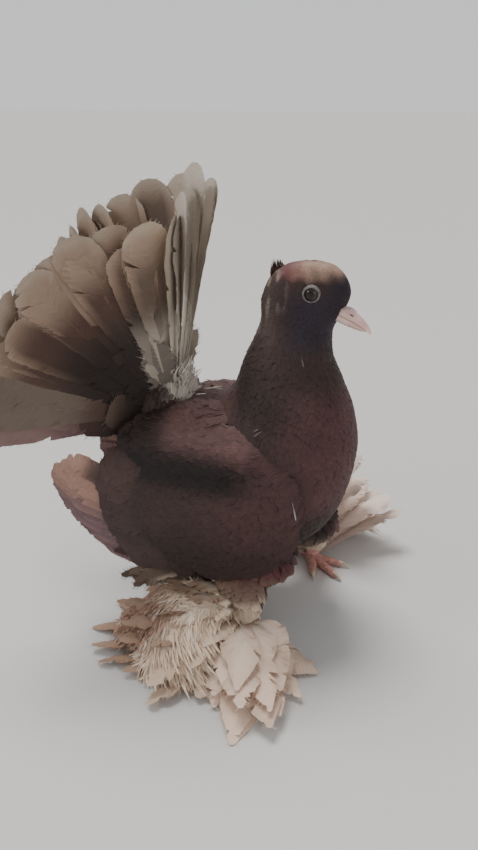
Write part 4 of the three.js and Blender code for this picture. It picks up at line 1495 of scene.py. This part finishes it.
def wire(tree, *wires):
    for source, output, target, entry in wires:
        tree.links.new(source.outputs[output], target.inputs[entry])


def ramp_of(tree, *stops):
    """A colour ramp through stops, each a position and a colour."""
    ramp = add(tree, "ValToRGB")
    elements = ramp.color_ramp.elements
    for element, (position, tone) in zip(elements, (stops[0], stops[-1])):
        element.position = position
        element.color = (*tone, 1)
    for position, tone in stops[1:-1]:
        elements.new(position).color = (*tone, 1)
    return ramp


def wire_tint(tree, shader, noise, spread, grain, output, bump):
    """Colours a shader by a mesh's own tint, shaded by the noise, and raises its surface by the grain."""
    tint = add(tree, "VertexColor")
    tint.layer_name = "Tint"
    shade = add(tree, "VectorMath", "SCALE")
    wire(
        tree,
        (noise, "Fac", spread, "Value"),
        (tint, "Color", shade, 0),
        (spread, "Result", shade, "Scale"),
        (shade, "Vector", shader, "Base Color"),
        (grain, output, bump, "Height"),
        (bump, "Normal", shader, "Normal"),
    )


def plumage_material(name, roughness=0.58, streak=0.22):
    """Feather: the coat's own tint, streaked along each lock, with fine grooves in the surface."""
    made, tree, shader = new_material(name, Roughness=roughness, Sheen_Weight=0.04, Sheen_Roughness=0.5,
                                      Specular_IOR_Level=0.24)
    strand = add(tree, "UVMap")
    strand.uv_map = "Strand"
    stretch = add(tree, "Mapping", Scale=(2.1, 0.12, 1))
    noise = add(tree, "TexNoise", Scale=1.0, Detail=3)
    spread = add(tree, "MapRange", From_Min=0.3, From_Max=0.7, To_Min=1 - streak, To_Max=1 + streak)
    bump = add(tree, "Bump", Strength=0.2, Distance=0.0003)
    wire(tree, (strand, "UV", stretch, "Vector"), (stretch, "Vector", noise, "Vector"))
    wire_tint(tree, shader, noise, spread, noise, "Fac", bump)
    return made


def skin_material():
    """The skin under the coat: the same markings, mottled and finely pitted where feathers root."""
    made, tree, shader = new_material("skin_under_coat", Roughness=0.7)
    where = add(tree, "TexCoord")
    noise = add(tree, "TexNoise", Scale=220, Detail=3)
    spread = add(tree, "MapRange", To_Min=0.7, To_Max=1.2)
    pits = add(tree, "TexVoronoi", Scale=420)
    bump = add(tree, "Bump", Strength=0.4, Distance=0.0004)
    wire(tree, (where, "Object", noise, "Vector"), (where, "Object", pits, "Vector"))
    wire_tint(tree, shader, noise, spread, pits, "Distance", bump)
    return made


# Bare skin and horn: two colours, the scale of their mottling, the roughness and how much light goes in.
MOTTLED = (
    ("bill_horn", (232, 200, 190), (212, 172, 166), 120, 0.42, 0.1),
    ("cere", (224, 198, 192), (198, 162, 158), 300, 0.6, 0.1),
    ("nostril_slit", (96, 58, 56), (70, 40, 40), 400, 0.7, 0.0),
    ("toe_skin", (206, 156, 146), (176, 122, 114), 350, 0.55, 0.05),
    ("claw_horn", (214, 196, 176), (180, 160, 140), 200, 0.35, 0.0),
    ("eye_ring", (124, 118, 116), (84, 78, 78), 700, 0.55, 0.0),
)


def mottled_material(name, first, second, scale, roughness, subsurface):
    made, tree, shader = new_material(name, Roughness=roughness, Subsurface_Weight=subsurface,
                                      Subsurface_Scale=0.002)
    where = add(tree, "TexCoord")
    noise = add(tree, "TexNoise", Scale=scale, Detail=4)
    ramp = ramp_of(tree, (0.35, colour(*first)), (0.65, colour(*second)))
    bump = add(tree, "Bump", Strength=0.4, Distance=0.0003)
    wire(
        tree,
        (where, "Object", noise, "Vector"),
        (noise, "Fac", ramp, "Fac"),
        (ramp, "Color", shader, "Base Color"),
        (noise, "Fac", bump, "Height"),
        (bump, "Normal", shader, "Normal"),
    )
    return made


def eye_material():
    """Dark pupil, deep brown iris and a pale rim, by the distance from the eye's axis."""
    made, tree, shader = new_material("eyeball", Roughness=0.08, Specular_IOR_Level=0.35)
    where = add(tree, "TexCoord")
    offset = add(tree, "VectorMath", "SUBTRACT")
    offset.inputs[1].default_value = tuple(metres([EYE["x"], 0, EYE["z"]]))
    flat = add(tree, "VectorMath", "MULTIPLY")
    flat.inputs[1].default_value = (1 / MM, 0, 1 / MM)
    length = add(tree, "VectorMath", "LENGTH")
    spread = add(tree, "MapRange", From_Max=EYE["radius"])
    ramp = ramp_of(
        tree,
        (0.38, (0.004, 0.003, 0.003)),
        (0.44, (0.03, 0.016, 0.012)),
        (0.6, (0.035, 0.024, 0.02)),
        (0.78, (0.02, 0.015, 0.014)),
        (0.85, (0.03, 0.024, 0.022)),
    )
    wire(
        tree,
        (where, "Object", offset, 0),
        (offset, "Vector", flat, 0),
        (flat, "Vector", length, 0),
        (length, "Value", spread, "Value"),
        (spread, "Result", ramp, "Fac"),
        (ramp, "Color", shader, "Base Color"),
    )
    return made


# Stage, light and camera

CAMERA = {"place": (193.2, -530.9, 373.0), "look": (-0.342, 0.940), "pitch": -21.4}
FOCAL_PX = 843
PHOTO_HEIGHT = 850
SENSOR = 36.0


def link(name, data):
    made = bpy.data.objects.new(name, data)
    bpy.context.scene.collection.objects.link(made)
    return made


def look_along(made, way):
    made.rotation_euler = Vector(way).to_track_quat("-Z", "Y").to_euler()


def build_stage():
    """A plain pale floor and sky."""
    bpy.ops.mesh.primitive_plane_add(size=40, location=(0, 0, 0))
    floor = bpy.context.object
    floor.name = "floor"
    ground = new_material("floor", Base_Color=(0.67, 0.66, 0.65, 1), Roughness=1.0, Specular_IOR_Level=0)[0]
    floor.data.materials.append(ground)
    world = bpy.data.worlds.new("studio")
    bpy.context.scene.world = world
    world.use_nodes = True
    tree = world.node_tree
    sky = tree.nodes["Background"]
    set_inputs(sky, {"Color": (0.985, 0.99, 1.0, 1)})
    where = add(tree, "TexCoord")
    split = add(tree, "SeparateXYZ")
    height = add(tree, "MapRange", From_Min=0.06, From_Max=0.42, To_Min=0.84, To_Max=0.45)
    height.interpolation_type = "SMOOTHSTEP"
    wire(tree, (where, "Generated", split, "Vector"), (split, "Z", height, "Value"),
         (height, "Result", sky, "Strength"))


def add_light(name, place, target, size, power, tone):
    data = bpy.data.lights.new(name, "AREA")
    data.shape = "DISK"
    data.size = size
    data.energy = power
    data.color = tone
    light = link(name, data)
    light.location = place
    look_along(light, Vector(target) - Vector(place))


def build_lights():
    """A wide soft sun from high behind the bird, which lights the floor evenly, and two weak lamps."""
    sun = bpy.data.lights.new("key", "SUN")
    sun.angle = math.radians(28)
    sun.energy = 2.5
    sun.color = (1.0, 0.98, 0.95)
    look_along(link("key", sun), (0.28, -0.2, -1))
    middle = (0, 0, 0.17)
    add_light("side", (-1.1, -0.9, 0.8), middle, 0.6, 5, (0.95, 0.97, 1.0))
    add_light("fill", (0.9, -1.1, 0.7), middle, 1.0, 3, (1.0, 0.97, 0.95))


def build_camera():
    data = bpy.data.cameras.new("camera")
    data.sensor_width = SENSOR
    data.lens = SENSOR * FOCAL_PX / PHOTO_HEIGHT
    data.clip_start = 0.01
    camera = link("camera", data)
    camera.location = Vector(metres(CAMERA["place"]))
    look_along(camera, (*CAMERA["look"], math.tan(math.radians(CAMERA["pitch"]))))
    bpy.context.scene.camera = camera


# Assembly

# The pieces of the body's plumage: the stations where each begins and ends, and the spots tried.
BODY_PIECES = (
    ("rump", 0.1, 4.2, 16000),
    ("belly", 4.2, 8.2, 20000),
    ("breast", 8.2, 12.2, 20000),
    ("neck", 12.2, HEAD_FROM, 16000),
    ("head", HEAD_FROM, HEAD_TO, 60000),
)


def build():
    build_camera()
    build_lights()
    build_stage()
    plain = plumage_material("plumage")
    tail = plumage_material("tail_plumage", roughness=0.72, streak=0.16)
    muff = plumage_material("muff_plumage", roughness=0.78, streak=0.14)
    skin = skin_material()
    horn, cere, slit, toe_skin, claw_horn, eye_ring = (mottled_material(*row) for row in MOTTLED)
    build_skin(skin)
    for stream, (name, first, last, tries) in enumerate(BODY_PIECES, 1):
        body_plumage("plumage_" + name, first, last, tries, stream, plain)
    build_crest(plain)
    tail_root_plumage(plain)
    tail_fluff(tail)
    stray_feathers(tail)
    for i, (name, half) in enumerate(TAIL_SIDES.items()):
        in_ranks("tail_feathers_" + name, tail, TAIL_RANKS, tail_feather, half, 10 + i, "tail_" + name)
    for i, (name, side) in enumerate(BOTH_SIDES.items()):
        in_ranks("wing_feathers_" + name, plain, WING_TIERS, wing_feather, side, 20 + i, "wing_" + name)
        wing_coverts(name, side, 30 + i, plain)
        scapulars(name, side, 35 + i, plain)
        build_eye(name, side, eye_material(), eye_ring)
    for i, (name, foot) in enumerate(FEET.items()):
        build_foot(name, foot, toe_skin, claw_horn)
        leg_plumage(name, foot, 40 + i, plain)
        hock_plumes(name, foot, 45 + i, muff)
        in_ranks("muff_" + name, muff, MUFF_TIERS, muff_feather, foot, 50 + i)
        muff_down(name, foot, 55 + i, muff)
    build_bill(horn, cere, slit)


build()
